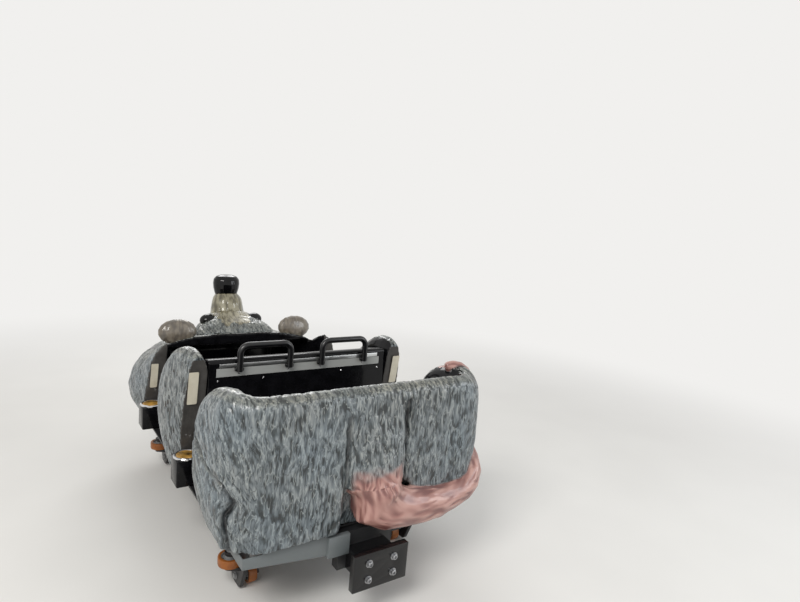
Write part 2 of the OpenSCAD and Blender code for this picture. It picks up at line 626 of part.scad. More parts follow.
module floor_pan() color([0.2, 0.2, 0.2]) translate([0, 0, tube_z1]) linear_extrude(floor_t)
  polygon([[-pan_half_w, dash_y + 220], [-pan_half_w, -pan_rear + 70], [-pan_half_w + 70, -pan_rear],
    [pan_half_w - 70, -pan_rear], [pan_half_w, -pan_rear + 70], [pan_half_w, dash_y + 220]]);

cheek_x = 345;
bridge_z1 = tube_z1 - 2;

module axles() color(steel) for (y = [-axle_y, axle_y]) translate([0, y, 0]) {
  translate([-cheek_x, -40, tube_z0 - axle_h]) cube([2 * cheek_x, 80, axle_h]);
  for (s = [-1, 1]) translate([s * cheek_x - (s > 0 ? 20 : 0), -70, tube_z0 - axle_h - 10])
    cube([20, 140, axle_h + 10]);
}

plate_x = rail_x + rail_d / 2 + 8;
plate_t = 20;
// One fork: an inner cheek on the axle's end, a bridge over the wheel, an outer plate that
// reaches down past the rail, the three stub axles and the lugs of the guide wheel
module carrier(sx, y) color([0.22, 0.22, 0.24]) translate([0, y, 0]) mirror([sx < 0 ? 1 : 0, 0, 0]) {
  difference() {
    union() {
      translate([cheek_x, -70, tube_z0 - axle_h]) cube([20, 140, bridge_z1 - tube_z0 + axle_h]);
      translate([cheek_x, -70, bridge_z1 - 9]) cube([plate_x + plate_t - cheek_x, 140, 9]);
      translate([plate_x, 0, 0]) rotate([90, 0, 90]) linear_extrude(plate_t)
        polygon([[-40, 12], [40, 12], [56, 22], [96, 112], [120, 190], [120, bridge_z1],
          [-120, bridge_z1], [-120, 190], [-96, 112], [-56, 22]]);
    }
    translate([plate_x - 1, -guide_d / 2 - 12, rail_z - 34]) cube([plate_t + 2, guide_d + 24, 68]);
  }
  translate([cheek_x, 0, run_z]) rotate([0, 90, 0]) cylinder(d = 36, h = plate_x - cheek_x + 1, $fn = 48);
  translate([rail_x - 32, 0, stop_z]) rotate([0, 90, 0])
    cylinder(d = 24, h = plate_x - rail_x + 33, $fn = 48);
  translate([rail_x - 40, 0, stop_z]) rotate([0, 90, 0]) cylinder(d = 36, h = 10, $fn = 48);
  for (z = [rail_z - 46, rail_z + 30]) hull() {
    translate([plate_x + plate_t - 1, -50, z]) cube([1, 100, 16]);
    translate([guide_x, 0, z]) cylinder(d = 56, h = 16, $fn = 32);
  }
  translate([guide_x, 0, rail_z - 46]) cylinder(d = 24, h = 92, $fn = 48);
}

module carrier_fl() carrier(-1, axle_y);
module carrier_fr() carrier(1, axle_y);
module carrier_rl() carrier(-1, -axle_y);
module carrier_rr() carrier(1, -axle_y);

// A wheel across X: tread, dished web and hub round its axle
module wheel(d, w, bore) {
  hub = bore / 2 + (d / 2 - bore / 2) * 0.26;
  rim = d / 2 - (d / 2 - bore / 2) * 0.3;
  rotate([0, 90, 0]) rotate_extrude($fn = 96)
    polygon([[bore / 2, -w / 2 - 3], [hub, -w / 2 - 3], [hub + 2, -w / 5], [rim - 2, -w / 5],
      [rim, -w / 2], [d / 2 - 4, -w / 2], [d / 2, -w / 2 + 5], [d / 2, w / 2 - 5],
      [d / 2 - 4, w / 2], [rim, w / 2], [rim - 2, w / 5], [hub + 2, w / 5], [hub, w / 2 + 3],
      [bore / 2, w / 2 + 3]]);
}

module run_wheel(sx, y) color([0.55, 0.30, 0.14]) translate([sx * rail_x, y, run_z])
  wheel(run_d, run_w, 36 + 2 * fit);
module guide_wheel(sx, y) color([0.55, 0.30, 0.14]) translate([sx * guide_x, y, rail_z])
  rotate([0, 90, 0]) wheel(guide_d, 44, 24 + 2 * fit);
module stop_wheel(sx, y) color([0.55, 0.30, 0.14]) translate([sx * rail_x, y, stop_z])
  wheel(stop_d, 44, 24 + 2 * fit);

module run_wheel_fl() run_wheel(-1, axle_y);
module run_wheel_fr() run_wheel(1, axle_y);
module run_wheel_rl() run_wheel(-1, -axle_y);
module run_wheel_rr() run_wheel(1, -axle_y);
module guide_wheel_fl() guide_wheel(-1, axle_y);
module guide_wheel_fr() guide_wheel(1, axle_y);
module guide_wheel_rl() guide_wheel(-1, -axle_y);
module guide_wheel_rr() guide_wheel(1, -axle_y);
module stop_wheel_fl() stop_wheel(-1, axle_y);
module stop_wheel_fr() stop_wheel(1, axle_y);
module stop_wheel_rl() stop_wheel(-1, -axle_y);
module stop_wheel_rr() stop_wheel(1, -axle_y);

// A buffer: a box against the end beam and a thick plate, out being -1 behind and 1 in front
module buffer(out, end, face) {
  y = out * face;
  translate([-105, min(end, y - out * 35), buffer_z - 56]) cube([210, abs(y - out * 35 - end), 112]);
  translate([-148, min(y, y - out * 35), buffer_z - 90]) cube([296, 35, 180]);
}

module rear_buffer() color(black) difference() {
  buffer(-1, -frame_rear, buffer_reach);
  for (x = [-1, 1], z = [-1, 1])
    translate([x * bolt_dx / 2, -buffer_reach - 1, buffer_z + z * bolt_dz / 2])
      rotate([-90, 0, 0]) cylinder(d = bolt_d, h = 60, $fn = 32);
}

module front_buffer() color(black) buffer(1, frame_front, front_buffer_y);

tray_x = pan_half_w - 30;
tray_top = tube_z1 - seat_gap;

// A sheet deeper towards the buffer, with a box at its inner end and a return round the side
module rear_tray() color([0.45, 0.46, 0.46]) {
  tray_end = -105 - seat_gap;
  translate([0, -frame_rear, 0]) rotate([90, 0, 0]) linear_extrude(4)
    polygon([[-tray_x, tray_top - 50], [tray_end, tray_top - 110], [tray_end, tray_top],
      [-tray_x, tray_top]]);
  translate([tray_end - 110, -frame_rear - 26, tray_top - 102]) cube([110, 23, 102]);
  translate([-tray_x, -frame_rear, tray_top - 50]) cube([4, 280, 50]);
}

module brake_fin() color([0.6, 0.6, 0.62]) {
  translate([-6, -500, 90]) cube([12, 1000, 150]);
  for (y = [-400, 0, 400]) translate([-25, y - 40, 200]) cube([50, 80, tube_z0 + 6 - 200]);
}

module chain_dog() color(steel)
  translate([-40, -axle_y - 200, 150]) cube([80, 80, tube_z0 + 6 - 150]);

frame_tubes();
cross_members();
floor_pan();
axles();
carrier_fl();
carrier_fr();
carrier_rl();
carrier_rr();
run_wheel_fl();
run_wheel_fr();
run_wheel_rl();
run_wheel_rr();
guide_wheel_fl();
guide_wheel_fr();
guide_wheel_rl();
guide_wheel_rr();
stop_wheel_fl();
stop_wheel_fr();
stop_wheel_rl();
stop_wheel_rr();
rear_buffer();
front_buffer();
rear_tray();
brake_fin();
chain_dog();
rear_shell();
tail();
wing_left();
wing_right();
front_shell();
head();
muzzle();
nose();
eyes();
ears();
seat_row_1();
seat_row_2();
seat_cushions();
seat_trim();
grab_handles();
sill_posts();
sill_lamps();
bar_bases();
lap_bar_1();
lap_bar_2();
lap_pads_1();
lap_pads_2();
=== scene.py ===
# %% [markdown]
# # A roller coaster car with a moulded rodent body
#
# The real car is a small steel chassis with wheels round two rails. On it sit painted
# fibreglass mouldings: a rump with a tail, two wings beside the first row, and a cowl with
# a head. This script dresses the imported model: each moulding is remeshed, smoothed and
# carved with fur, and the seats, pads, plates, bolts and wheels get their finish.

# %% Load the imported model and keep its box
import math

import bmesh
import bpy
import numpy as np
from mathutils import Matrix, Vector
from mathutils.bvhtree import BVHTree


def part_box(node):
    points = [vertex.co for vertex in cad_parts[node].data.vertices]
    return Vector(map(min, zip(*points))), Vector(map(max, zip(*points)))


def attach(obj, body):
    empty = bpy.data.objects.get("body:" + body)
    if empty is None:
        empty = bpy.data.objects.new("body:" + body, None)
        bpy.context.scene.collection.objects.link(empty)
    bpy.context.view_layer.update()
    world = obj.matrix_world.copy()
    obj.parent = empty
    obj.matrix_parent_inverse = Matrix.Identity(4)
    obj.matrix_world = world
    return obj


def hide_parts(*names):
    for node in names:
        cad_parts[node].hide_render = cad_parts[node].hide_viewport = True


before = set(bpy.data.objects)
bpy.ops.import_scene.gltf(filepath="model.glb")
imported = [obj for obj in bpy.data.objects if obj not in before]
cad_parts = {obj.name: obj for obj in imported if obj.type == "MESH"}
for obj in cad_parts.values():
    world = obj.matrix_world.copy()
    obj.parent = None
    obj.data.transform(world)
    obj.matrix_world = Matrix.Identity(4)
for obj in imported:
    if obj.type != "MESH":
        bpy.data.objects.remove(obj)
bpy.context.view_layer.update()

MM = 0.001
SEED = 11

# %% [markdown]
# ## Camera
#
# The photograph looks forward and to the right over the rump. Its vanishing points give a
# focal length of 580 pixels for a picture 800 pixels wide, and the three directions below.

# %% Camera
PICTURE_W, FOCAL_PX, SENSOR_MM = 800, 580, 36
camera_at = Vector((-1.455, -3.32, 1.90))
look = Vector((0.5686, 0.8076, -0.1498)).normalized()
right = Vector((0.8225, -0.5639, 0.0871))
right = (right - look * right.dot(look)).normalized()
up = right.cross(look)

camera_data = bpy.data.cameras.new("photo_camera")
camera_data.sensor_width = SENSOR_MM
camera_data.lens = SENSOR_MM * FOCAL_PX / PICTURE_W
camera = bpy.data.objects.new("photo_camera", camera_data)
camera.matrix_world = Matrix.Translation(camera_at) @ Matrix((
    (right.x, up.x, -look.x), (right.y, up.y, -look.y), (right.z, up.z, -look.z))).to_4x4()
bpy.context.scene.collection.objects.link(camera)
bpy.context.scene.camera = camera
bpy.context.scene.view_settings.view_transform = "Standard"
print("lens", round(camera_data.lens, 2), "mm")

# %% [markdown]
# ## Small helpers
#
# One function turns a written sRGB colour to the linear values that Blender wants, and one
# adds a shader node with its settings and links. Every material below is built from these two.

# %% Colours and shader nodes
def linear(hex_colour):
    """An sRGB hex colour such as "7C8283" as linear red, green, blue and alpha."""
    parts = [int(hex_colour[i:i + 2], 16) / 255 for i in (0, 2, 4)]
    return tuple(c / 12.92 if c <= 0.04045 else ((c + 0.055) / 1.055) ** 2.4 for c in parts) + (1.0,)


def add(tree, kind, inputs=None, **settings):
    """Adds a node. A value of inputs is a number or colour, or an output to link from."""
    made = tree.nodes.new(kind)
    for name, value in settings.items():
        setattr(made, name, value)
    for name, value in (inputs or {}).items():
        if isinstance(value, bpy.types.NodeSocket):
            tree.links.new(value, made.inputs[name])
        else:
            made.inputs[name].default_value = value
    return made


def material(name, **inputs):
    """A material with a Principled shader whose own sockets are set, and its node tree."""
    made = bpy.data.materials.new(name)
    made.use_nodes = True
    made.node_tree.nodes.clear()
    shader = add(made.node_tree, "ShaderNodeBsdfPrincipled",
                 {key.replace("_", " "): value for key, value in inputs.items()})
    add(made.node_tree, "ShaderNodeOutputMaterial", {"Surface": shader.outputs[0]})
    return made, made.node_tree, shader


def place(tree, scale=(1, 1, 1), turn=(0, 0, 0)):
    """Object coordinates in metres, stretched by scale."""
    coordinates = add(tree, "ShaderNodeTexCoord")
    return add(tree, "ShaderNodeMapping", {"Vector": coordinates.outputs["Object"], "Scale": scale,
                                           "Rotation": turn}).outputs[0]


def noise(tree, size_mm, detail=2.0, rough=0.5, scale=(1, 1, 1)):
    """Noise whose blobs are about size_mm across."""
    return add(tree, "ShaderNodeTexNoise", {"Vector": place(tree, scale), "Scale": 500 / size_mm,
                                            "Detail": detail, "Roughness": rough}).outputs["Fac"]


def ramp(tree, factor, stops):
    """A colour ramp over (position, sRGB hex) stops."""
    made = add(tree, "ShaderNodeValToRGB", {"Fac": factor})
    while len(made.color_ramp.elements) < len(stops):
        made.color_ramp.elements.new(0.5)
    for element, (position, colour) in zip(made.color_ramp.elements, stops):
        element.position = position
        element.color = linear(colour)
    return made.outputs["Color"]


def spread(tree, factor, low, high, to_low, to_high):
    """factor from low..high spread over to_low..to_high."""
    return add(tree, "ShaderNodeMapRange", {"Value": factor, "From Min": low, "From Max": high,
                                            "To Min": to_low, "To Max": to_high}).outputs[0]


def mixed(tree, factor, a, b, blend="MIX"):
    """Two colours mixed."""
    return add(tree, "ShaderNodeMix", {0: factor, 6: a, 7: b}, data_type="RGBA", blend_type=blend).outputs[2]


def bump(tree, height, strength, distance_mm, below=None):
    """A bump of distance_mm, on top of another one when below is given."""
    inputs = {"Height": height, "Strength": strength, "Distance": distance_mm * MM}
    if below is not None:
        inputs["Normal"] = below
    return add(tree, "ShaderNodeBump", inputs).outputs[0]


def wire(tree, output, shader, socket):
    tree.links.new(output, shader.inputs[socket])


# %% [markdown]
# ## Materials
#
# The body is gelcoat: grey paint under a glossy clear coat, with painted highlight on its ridges and painted
# shade in its grooves.
# The carved fur itself is geometry. It is kept in an attribute named groove, 0 at the bottom
# of a groove and 1 on a ridge, so that the paint follows the carving wherever it bends.

# %% Gelcoat fur, skin and inside finishes
def attribute(tree, name):
    return add(tree, "ShaderNodeAttribute", attribute_name=name).outputs["Fac"]


def wandering(tree, size_mm, sway_mm, scale=(1, 1, 1)):
    """Object coordinates swayed by slow noise, so that strokes don't run dead straight."""
    slow = add(tree, "ShaderNodeTexNoise", {"Vector": place(tree), "Scale": 500 / size_mm, "Detail": 1.0})
    sway = add(tree, "ShaderNodeVectorMath", {0: slow.outputs["Color"], 1: (sway_mm * MM,) * 3},
               operation="MULTIPLY").outputs[0]
    moved = add(tree, "ShaderNodeVectorMath", {0: place(tree), 1: sway}, operation="ADD").outputs[0]
    return add(tree, "ShaderNodeVectorMath", {0: moved, 1: scale}, operation="MULTIPLY").outputs[0]


def strokes_of_paint(tree, apart_mm, scale, detail=3.0):
    """Strokes apart_mm apart, drawn out where scale is small."""
    return add(tree, "ShaderNodeTexNoise", {"Vector": wandering(tree, 70, 30, scale),
                                            "Scale": 500 / apart_mm, "Detail": detail,
                                            "Roughness": 0.6}).outputs["Fac"]


def calculated(tree, operation, a, b):
    return add(tree, "ShaderNodeMath", {0: a, 1: b}, operation=operation).outputs[0]


def fur_gelcoat():
    """Painted and clear-coated fibreglass fur: painted shade in the grooves and creases, painted highlight
    on the ridges, pink on the tail.
    """
    made, tree, shader = material("fur_gelcoat_clear_coated", Roughness=0.46, Coat_Weight=0.55,
                                  Coat_Roughness=0.12, Coat_IOR=1.5, Specular_IOR_Level=0.5)
    groove, lie, shade = (attribute(tree, name) for name in ("groove", "lie", "shade"))
    # Fine strokes 7 mm apart and 35 mm long: down the sides, and backwards where lie is 1
    hair = spread(tree, lie, 0, 1, strokes_of_paint(tree, 7, (1, 1, 0.2)),
                  strokes_of_paint(tree, 7, (1, 0.22, 1)))
    # Paint from dark at the bottom of a stroke to light on its top: painted shade and painted highlight
    depth = calculated(tree, "ADD", calculated(tree, "MULTIPLY", groove, 0.35),
                       calculated(tree, "MULTIPLY", hair, 0.65))
    paint = ramp(tree, depth, [(0.34, "23292B"), (0.43, "4A5256"), (0.53, "646C71"), (0.63, "798085"),
                               (0.76, "999E9F")])
    # Thin lines of painted highlight and thin lines of painted shade: the level lines of a second, coarser
    # noise
    coarse = spread(tree, lie, 0, 1, strokes_of_paint(tree, 13, (1, 1, 0.24), 2.0),
                    strokes_of_paint(tree, 13, (1, 0.26, 1), 2.0))
    bright = ramp(tree, coarse, [(0.425, "000000"), (0.455, "FFFFFF"), (0.485, "000000")])
    dark = ramp(tree, coarse, [(0.520, "000000"), (0.545, "FFFFFF"), (0.570, "000000")])
    paint = mixed(tree, calculated(tree, "MULTIPLY", bright, 0.65), paint, linear("B4B9B9"))
    paint = mixed(tree, calculated(tree, "MULTIPLY", dark, 0.75), paint, linear("23292B"))
    # Broad patches where the brush left the coat warmer or cooler, about 180 mm across
    patches = ramp(tree, noise(tree, 180, 2.0, 0.55), [(0.35, "DDE7EC"), (0.65, "F4F1EA")])
    paint = mixed(tree, 0.8, paint, patches, "MULTIPLY")
    # Faces that look up painted warmer: painted warm light from above
    paint = mixed(tree, calculated(tree, "MULTIPLY", lie, 0.7), paint, linear("F2E8D4"), "MULTIPLY")
    # Skin: painted shade in the wrinkles of the carving and painted highlight on their ridges, with a
    # blotchy flush 90 mm across
    skin = ramp(tree, groove, [(0.0, "7C5552"), (0.3, "9C756F"), (0.7, "B08A83"), (1.0, "C7A49C")])
    flush = ramp(tree, noise(tree, 90, 2.0, 0.5), [(0.3, "F0DCD8"), (0.7, "FFF8F4")])
    skin = mixed(tree, 1.0, skin, flush, "MULTIPLY")
    pink = attribute(tree, "pink")
    colour = mixed(tree, pink, paint, skin)
    # Painted shade: the colour darkened in the creases and along the parting beside the tail
    painted_crease_shade = calculated(tree, "MULTIPLY", shade, 0.85)
    wire(tree, mixed(tree, painted_crease_shade, colour, linear("17181A")), shader, "Base Color")
    # Relief of the fine strokes, on the skin that of its wrinkles, with brush hairs 3 mm apart on top
    height = add(tree, "ShaderNodeMix", {0: pink, 2: hair, 3: groove}).outputs[0]
    relief = bump(tree, height, 0.9, 4.0)
    relief = bump(tree, noise(tree, 3, 2.0, 0.6, (1, 1, 0.2)), 0.18, 0.6, relief)
    wire(tree, relief, shader, "Normal")
    return made


def black_gelcoat(name, colour="0B0B0D", rough=0.16, ripple=0.25, dusty="17171A"):
    """Black gelcoat, polished, with the slow ripple of hand-laid fibreglass."""
    made, tree, shader = material(name, Roughness=rough, Coat_Weight=0.3, Coat_Roughness=0.1,
                                  Specular_IOR_Level=0.05)
    dust = ramp(tree, noise(tree, 35, 4.0, 0.6), [(0.35, colour), (0.75, dusty)])
    wire(tree, dust, shader, "Base Color")
    wire(tree, bump(tree, noise(tree, 90, 1.0, 0.4), ripple, 2.0), shader, "Normal")
    return made


FUR = fur_gelcoat()
INSIDE = black_gelcoat("black_gelcoat_polished")
CUT_FACE = black_gelcoat("dark_gelcoat_cut_face", "454341", 0.38, 0.15, "545250")
print("gelcoat materials", [m.name for m in (FUR, INSIDE, CUT_FACE)])

# %% Metals, rubber, lacquer and vinyl
def painted_steel(name, colour, worn, rough, chip=0.62):
    """Sprayed steel: even colour, orange peel 1.5 mm across, paint rubbed thin in patches."""
    made, tree, shader = material(name, Roughness=rough, Specular_IOR_Level=0.5)
    rubbed = noise(tree, 60, 6.0, 0.7)
    paint = ramp(tree, rubbed, [(0.30, colour), (chip, colour), (chip + 0.14, worn)])
    wire(tree, paint, shader, "Base Color")
    wire(tree, bump(tree, noise(tree, 1.5, 1.0, 0.4), 0.15, 0.2), shader, "Normal")
    return made


def bare_metal(name, colour, rough, streak=(1, 0.04, 1), streak_mm=1.5):
    """Bare metal, metallic 1, with fine streaks along the way it was rolled or rubbed."""
    made, tree, shader = material(name, Metallic=1.0, Roughness=rough)
    streaks = noise(tree, streak_mm, 3.0, 0.6, streak)
    wire(tree, ramp(tree, streaks, [(0.25, colour[0]), (0.75, colour[1])]), shader, "Base Color")
    wire(tree, spread(tree, streaks, 0.2, 0.8, rough * 0.7, rough * 1.4), shader, "Roughness")
    return made


def lacquer(name, colour, rough=0.06):
    """Lacquer, flow-polished to a clean gloss."""
    made, tree, shader = material(name, Roughness=rough, Coat_Weight=0.5, Coat_Roughness=0.04,
                                  Specular_IOR_Level=0.05)
    wire(tree, ramp(tree, noise(tree, 25, 2.0, 0.5), [(0.3, colour), (0.8, "141416")]), shader, "Base Color")
    return made


def cream_gelcoat():
    """Cream paint with painted shade in the grooves of its faint brush hairs, mottled, clear-coated."""
    made, tree, shader = material("cream_gelcoat_painted_groove_shade", Roughness=0.32, Coat_Weight=0.8,
                                  Coat_Roughness=0.08)
    groove = attribute(tree, "groove")
    paint = ramp(tree, groove, [(0.0, "57523F"), (0.45, "7C7763"), (1.0, "A5A18E")])
    shade = ramp(tree, noise(tree, 70, 3.0, 0.6), [(0.3, "D9D5C8"), (0.7, "FFFDF6")])
    wire(tree, mixed(tree, 1.0, paint, shade, "MULTIPLY"), shader, "Base Color")
    return made


def ear_gelcoat():
    """Smooth ear: grey-brown, painted highlight on the ridges of its faint strokes and painted shade in
    their grooves, mottled, clear-coated.
    """
    made, tree, shader = material("ear_gelcoat_painted_ridge_light", Roughness=0.36, Coat_Weight=0.7,
                                  Coat_Roughness=0.10)
    groove = attribute(tree, "groove")
    paint = ramp(tree, groove, [(0.0, "655F57"), (0.4, "766E64"), (0.8, "827A6E"), (1.0, "8C8478")])
    mottle = ramp(tree, noise(tree, 40, 5.0, 0.7), [(0.3, "C9C4BC"), (0.7, "FFFFFF")])
    wire(tree, mixed(tree, 1.0, paint, mottle, "MULTIPLY"), shader, "Base Color")
    wire(tree, bump(tree, noise(tree, 12, 3.0, 0.6), 0.3, 1.0), shader, "Normal")
    return made


def vinyl(name, colour, light):
    """Upholstery vinyl: black, embossed with a leather grain 2.5 mm across."""
    made, tree, shader = material(name, Roughness=0.48, Specular_IOR_Level=0.45, Sheen_Weight=0.05)
    cells = add(tree, "ShaderNodeTexVoronoi", {"Vector": place(tree), "Scale": 1000 / 2.5},
                feature="DISTANCE_TO_EDGE").outputs["Distance"]
    wire(tree, ramp(tree, noise(tree, 45, 4.0, 0.6), [(0.3, colour), (0.75, light)]), shader, "Base Color")
    grain = spread(tree, cells, 0.0, 0.25, 0.0, 1.0)
    wire(tree, bump(tree, grain, 0.5, 0.35), shader, "Normal")
    return made


def rubber(name, colour, light, rough=0.55, grain_mm=3.0):
    """Cast rubber or skinned foam: a faint mottle and fine pores."""
    made, tree, shader = material(name, Roughness=rough)
    wire(tree, ramp(tree, noise(tree, 30, 5.0, 0.65), [(0.3, colour), (0.75, light)]), shader, "Base Color")
    wire(tree, bump(tree, noise(tree, grain_mm, 3.0, 0.6), 0.3, 0.4), shader, "Normal")
    return made


def chequer_plate():
    """Rolled tread plate: raised lozenges 24 mm apart, dark paint worn bright on their tops."""
    made, tree, shader = material("steel_tread_plate_painted", Roughness=0.45, Specular_IOR_Level=0.5)
    heights = []
    for turn in (math.radians(45), math.radians(-45)):
        waves = place(tree, (1, 0.4, 1), (0, 0, turn))
        heights.append(add(tree, "ShaderNodeTexVoronoi", {"Vector": waves, "Scale": 1000 / 24,
                                                          "Randomness": 0.0}).outputs["Distance"])
    low = add(tree, "ShaderNodeMath", {0: heights[0], 1: heights[1]}, operation="MINIMUM").outputs[0]
    raised = spread(tree, low, 0.16, 0.24, 1.0, 0.0)
    wire(tree, ramp(tree, raised, [(0.1, "1C1C1E"), (0.9, "4A4A4C")]), shader, "Base Color")
    wire(tree, bump(tree, raised, 0.8, 1.5), shader, "Normal")
    return made


FRAME_PAINT = painted_steel("steel_painted_dark_grey", "2A2B2D", "565452", 0.45)
CARRIER_PAINT = painted_steel("steel_painted_black_greasy", "1B1B1D", "3C3834", 0.38)
BUFFER_PAINT = painted_steel("steel_painted_gloss_black", "0E0E10", "2B2A29", 0.22, 0.7)
HANDLE_COAT = painted_steel("steel_powder_coated_black", "111113", "333335", 0.28, 0.72)
TRAY_PAINT = painted_steel("steel_sheet_painted_grey", "6B7173", "8B8E8D", 0.42)
FIN_STEEL = bare_metal("steel_plate_rubbed_bright", ("7E7C78", "B3B1AD"), 0.30)
BAND_PAINT = painted_steel("aluminium_sheet_satin_painted", "A3A5A3", "8B8D8C", 0.4)
ALUMINIUM = bare_metal("aluminium_strip_mill_finish", ("B4B6B6", "DADCDC"), 0.32, (0.04, 1, 1))
CHROME = bare_metal("steel_chromed", ("C4C4C6", "E6E6E8"), 0.08, (1, 1, 1), 20)
ZINC = bare_metal("steel_zinc_plated", ("8A8B8D", "B4B5B8"), 0.35, (1, 1, 1), 8)
BLACK_LACQUER = lacquer("lacquer_black_polished", "050506")
CREAM = cream_gelcoat()
EAR = ear_gelcoat()
VINYL = vinyl("vinyl_black_embossed", "111113", "232326")
FOAM = rubber("foam_black_skinned", "101012", "242427", 0.5)
TREAD = rubber("polyurethane_amber_cast", "8A4E1E", "A9662C", 0.38, 8.0)
TREAD_PLATE = chequer_plate()
SEAT_BLACK = black_gelcoat("seat_gelcoat_black", "0A0A0C", 0.2, 0.12)
PLATE = rubber("label_plate_bare_ivory", "CFC8B4", "E2DCCB", 0.35, 20.0)
LENS = lacquer("acrylic_lens_amber", "C89A4A", 0.12)
print("materials so far", len(bpy.data.materials))

# %% [markdown]
# ## Floor, light and background
#
# A plain pale floor under the lowest wheels, one large soft lamp from the left rear, a
# weaker one from the right, and an even world. The lamps reach only the floor round the car,
# so further out the floor turns to a plain pale colour, and so does the world. Both do that
# for camera, mirror and glass rays only, so the background adds no light to the car.

# %% Floor, lamps and world
def new_object(name, mesh, *materials):
    made = bpy.data.objects.new(name, mesh)
    bpy.context.scene.collection.objects.link(made)
    for finish in materials:
        made.data.materials.append(finish)
    return made


def mesh_from(name, bm):
    """The bmesh as a mesh, and the bmesh freed."""
    mesh = bpy.data.meshes.new(name)
    bm.to_mesh(mesh)
    bm.free()
    return mesh


FLOOR_HALF = 60.0
BACKGROUND = "F1F0EE"
PALE_FROM, PALE_TO = 2.4, 6.5


def seen_rays(tree):
    """1 for camera, mirror and glass rays, else 0."""
    path = add(tree, "ShaderNodeLightPath")
    seen = path.outputs["Is Camera Ray"]
    for kind in ("Is Glossy Ray", "Is Transmission Ray"):
        seen = calculated(tree, "MAXIMUM", seen, path.outputs[kind])
    return seen


floor_paint, tree, shader = material("studio_floor_matt", Roughness=0.9, Specular_IOR_Level=0.2)
wire(tree, ramp(tree, noise(tree, 400, 2.0, 0.5), [(0.3, "E9E8E5"), (0.7, "EDECE9")]), shader, "Base Color")
away = add(tree, "ShaderNodeVectorMath", {0: place(tree)}, operation="LENGTH").outputs["Value"]
far = add(tree, "ShaderNodeMapRange", {"Value": away, "From Min": PALE_FROM, "From Max": PALE_TO},
          interpolation_type="SMOOTHSTEP").outputs[0]
pale = add(tree, "ShaderNodeEmission", {"Color": linear(BACKGROUND)}).outputs[0]
pale_share = calculated(tree, "MULTIPLY", far, seen_rays(tree))
both = add(tree, "ShaderNodeMixShader", {0: pale_share, 1: shader.outputs[0], 2: pale}).outputs[0]
tree.links.new(both, next(n for n in tree.nodes if n.type == "OUTPUT_MATERIAL").inputs["Surface"])
bm = bmesh.new()
bmesh.ops.create_grid(bm, x_segments=1, y_segments=1, size=FLOOR_HALF)
floor = new_object("studio_floor", mesh_from("studio_floor", bm), floor_paint)


def lamp(name, at, to, size, watts, colour=(1, 1, 1)):
    data = bpy.data.lights.new(name, "AREA")
    data.shape = "RECTANGLE"
    data.size, data.size_y = size
    data.energy = watts
    data.color = colour
    made = bpy.data.objects.new(name, data)
    aim = (Vector(to) - Vector(at)).to_track_quat("-Z", "Y")
    made.matrix_world = Matrix.Translation(at) @ aim.to_matrix().to_4x4()
    bpy.context.scene.collection.objects.link(made)


lamp("key_softbox", (-3.6, -3.2, 4.6), (0, -0.2, 0.7), (2.6, 2.0), 200, (1.0, 0.98, 0.95))
lamp("fill_softbox", (3.8, -3.6, 2.6), (0, -0.4, 0.7), (2.4, 2.0), 60, (0.94, 0.97, 1.0))
lamp("back_softbox", (1.2, 4.6, 4.2), (0, 0.4, 0.9), (3.0, 1.6), 110)

WORLD_LIGHT, WORLD_SEEN = 0.50, 1.0
world = bpy.data.worlds.new("studio_world")
bpy.context.scene.world = world
world.use_nodes = True
tree = world.node_tree
tree.nodes.clear()
strength = spread(tree, seen_rays(tree), 0, 1, WORLD_LIGHT, WORLD_SEEN)
background = add(tree, "ShaderNodeBackground", {"Color": linear(BACKGROUND), "Strength": strength})
add(tree, "ShaderNodeOutputWorld", {"Surface": background.outputs[0]})

# %% [markdown]
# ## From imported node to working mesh
#
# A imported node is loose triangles, so a copy of it is merged before anything else. A voxel
# remesh then gives it even small faces, which fur can be carved into. The mesh is worked on
# as arrays from here: points, edges and the diagonals of the faces, with an even smoothing
# that doesn't shrink the form (one pass in, one slightly stronger pass out).

# %% Copying, remeshing and smoothing
def merged_copy(*nodes):
    """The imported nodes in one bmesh, their doubled points merged."""
    bm = bmesh.new()
    for node in nodes:
        bm.from_mesh(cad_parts[node].data)
    bmesh.ops.remove_doubles(bm, verts=bm.verts, dist=0.02 * MM)
    return bm


def with_modifiers(name, mesh, *modifiers):
    """The mesh after the modifiers, each given as (type, settings)."""
    holder = new_object(name, mesh)
    for kind, settings in modifiers:
        modifier = holder.modifiers.new(kind.title(), kind)
        for key, value in settings.items():
            setattr(modifier, key, value)
    done = bpy.data.meshes.new_from_object(holder.evaluated_get(bpy.context.evaluated_depsgraph_get()))
    bpy.data.objects.remove(holder)
    return done


def remeshed(name, bm, voxel_mm):
    return with_modifiers(name, mesh_from(name, bm),
                          ("REMESH", dict(mode="VOXEL", voxel_size=voxel_mm * MM, adaptivity=0.0)))


def points_of(mesh):
    values = np.empty(3 * len(mesh.vertices))
    mesh.vertices.foreach_get("co", values)
    return values.reshape(-1, 3)


def normals_of(mesh):
    values = np.empty(3 * len(mesh.vertices), np.float32)
    mesh.vertex_normals.foreach_get("vector", values)
    return values.reshape(-1, 3).astype(float)


def set_points(mesh, points):
    mesh.vertices.foreach_set("co", points.astype(np.float32).ravel())
    mesh.update()


def links_of(mesh):
    """Edges and face diagonals, as pairs of point numbers."""
    edges = np.empty(2 * len(mesh.edges), np.int32)
    mesh.edges.foreach_get("vertices", edges)
    starts = np.empty(len(mesh.polygons), np.int32)
    totals = np.empty(len(mesh.polygons), np.int32)
    corners = np.empty(len(mesh.loops), np.int32)
    mesh.polygons.foreach_get("loop_start", starts)
    mesh.polygons.foreach_get("loop_total", totals)
    mesh.loops.foreach_get("vertex_index", corners)
    quads = starts[totals == 4]
    across = [np.stack([corners[quads + i], corners[quads + i + 2]], 1) for i in (0, 1)]
    return np.concatenate([edges.reshape(-1, 2)] + across), len(edges) // 2


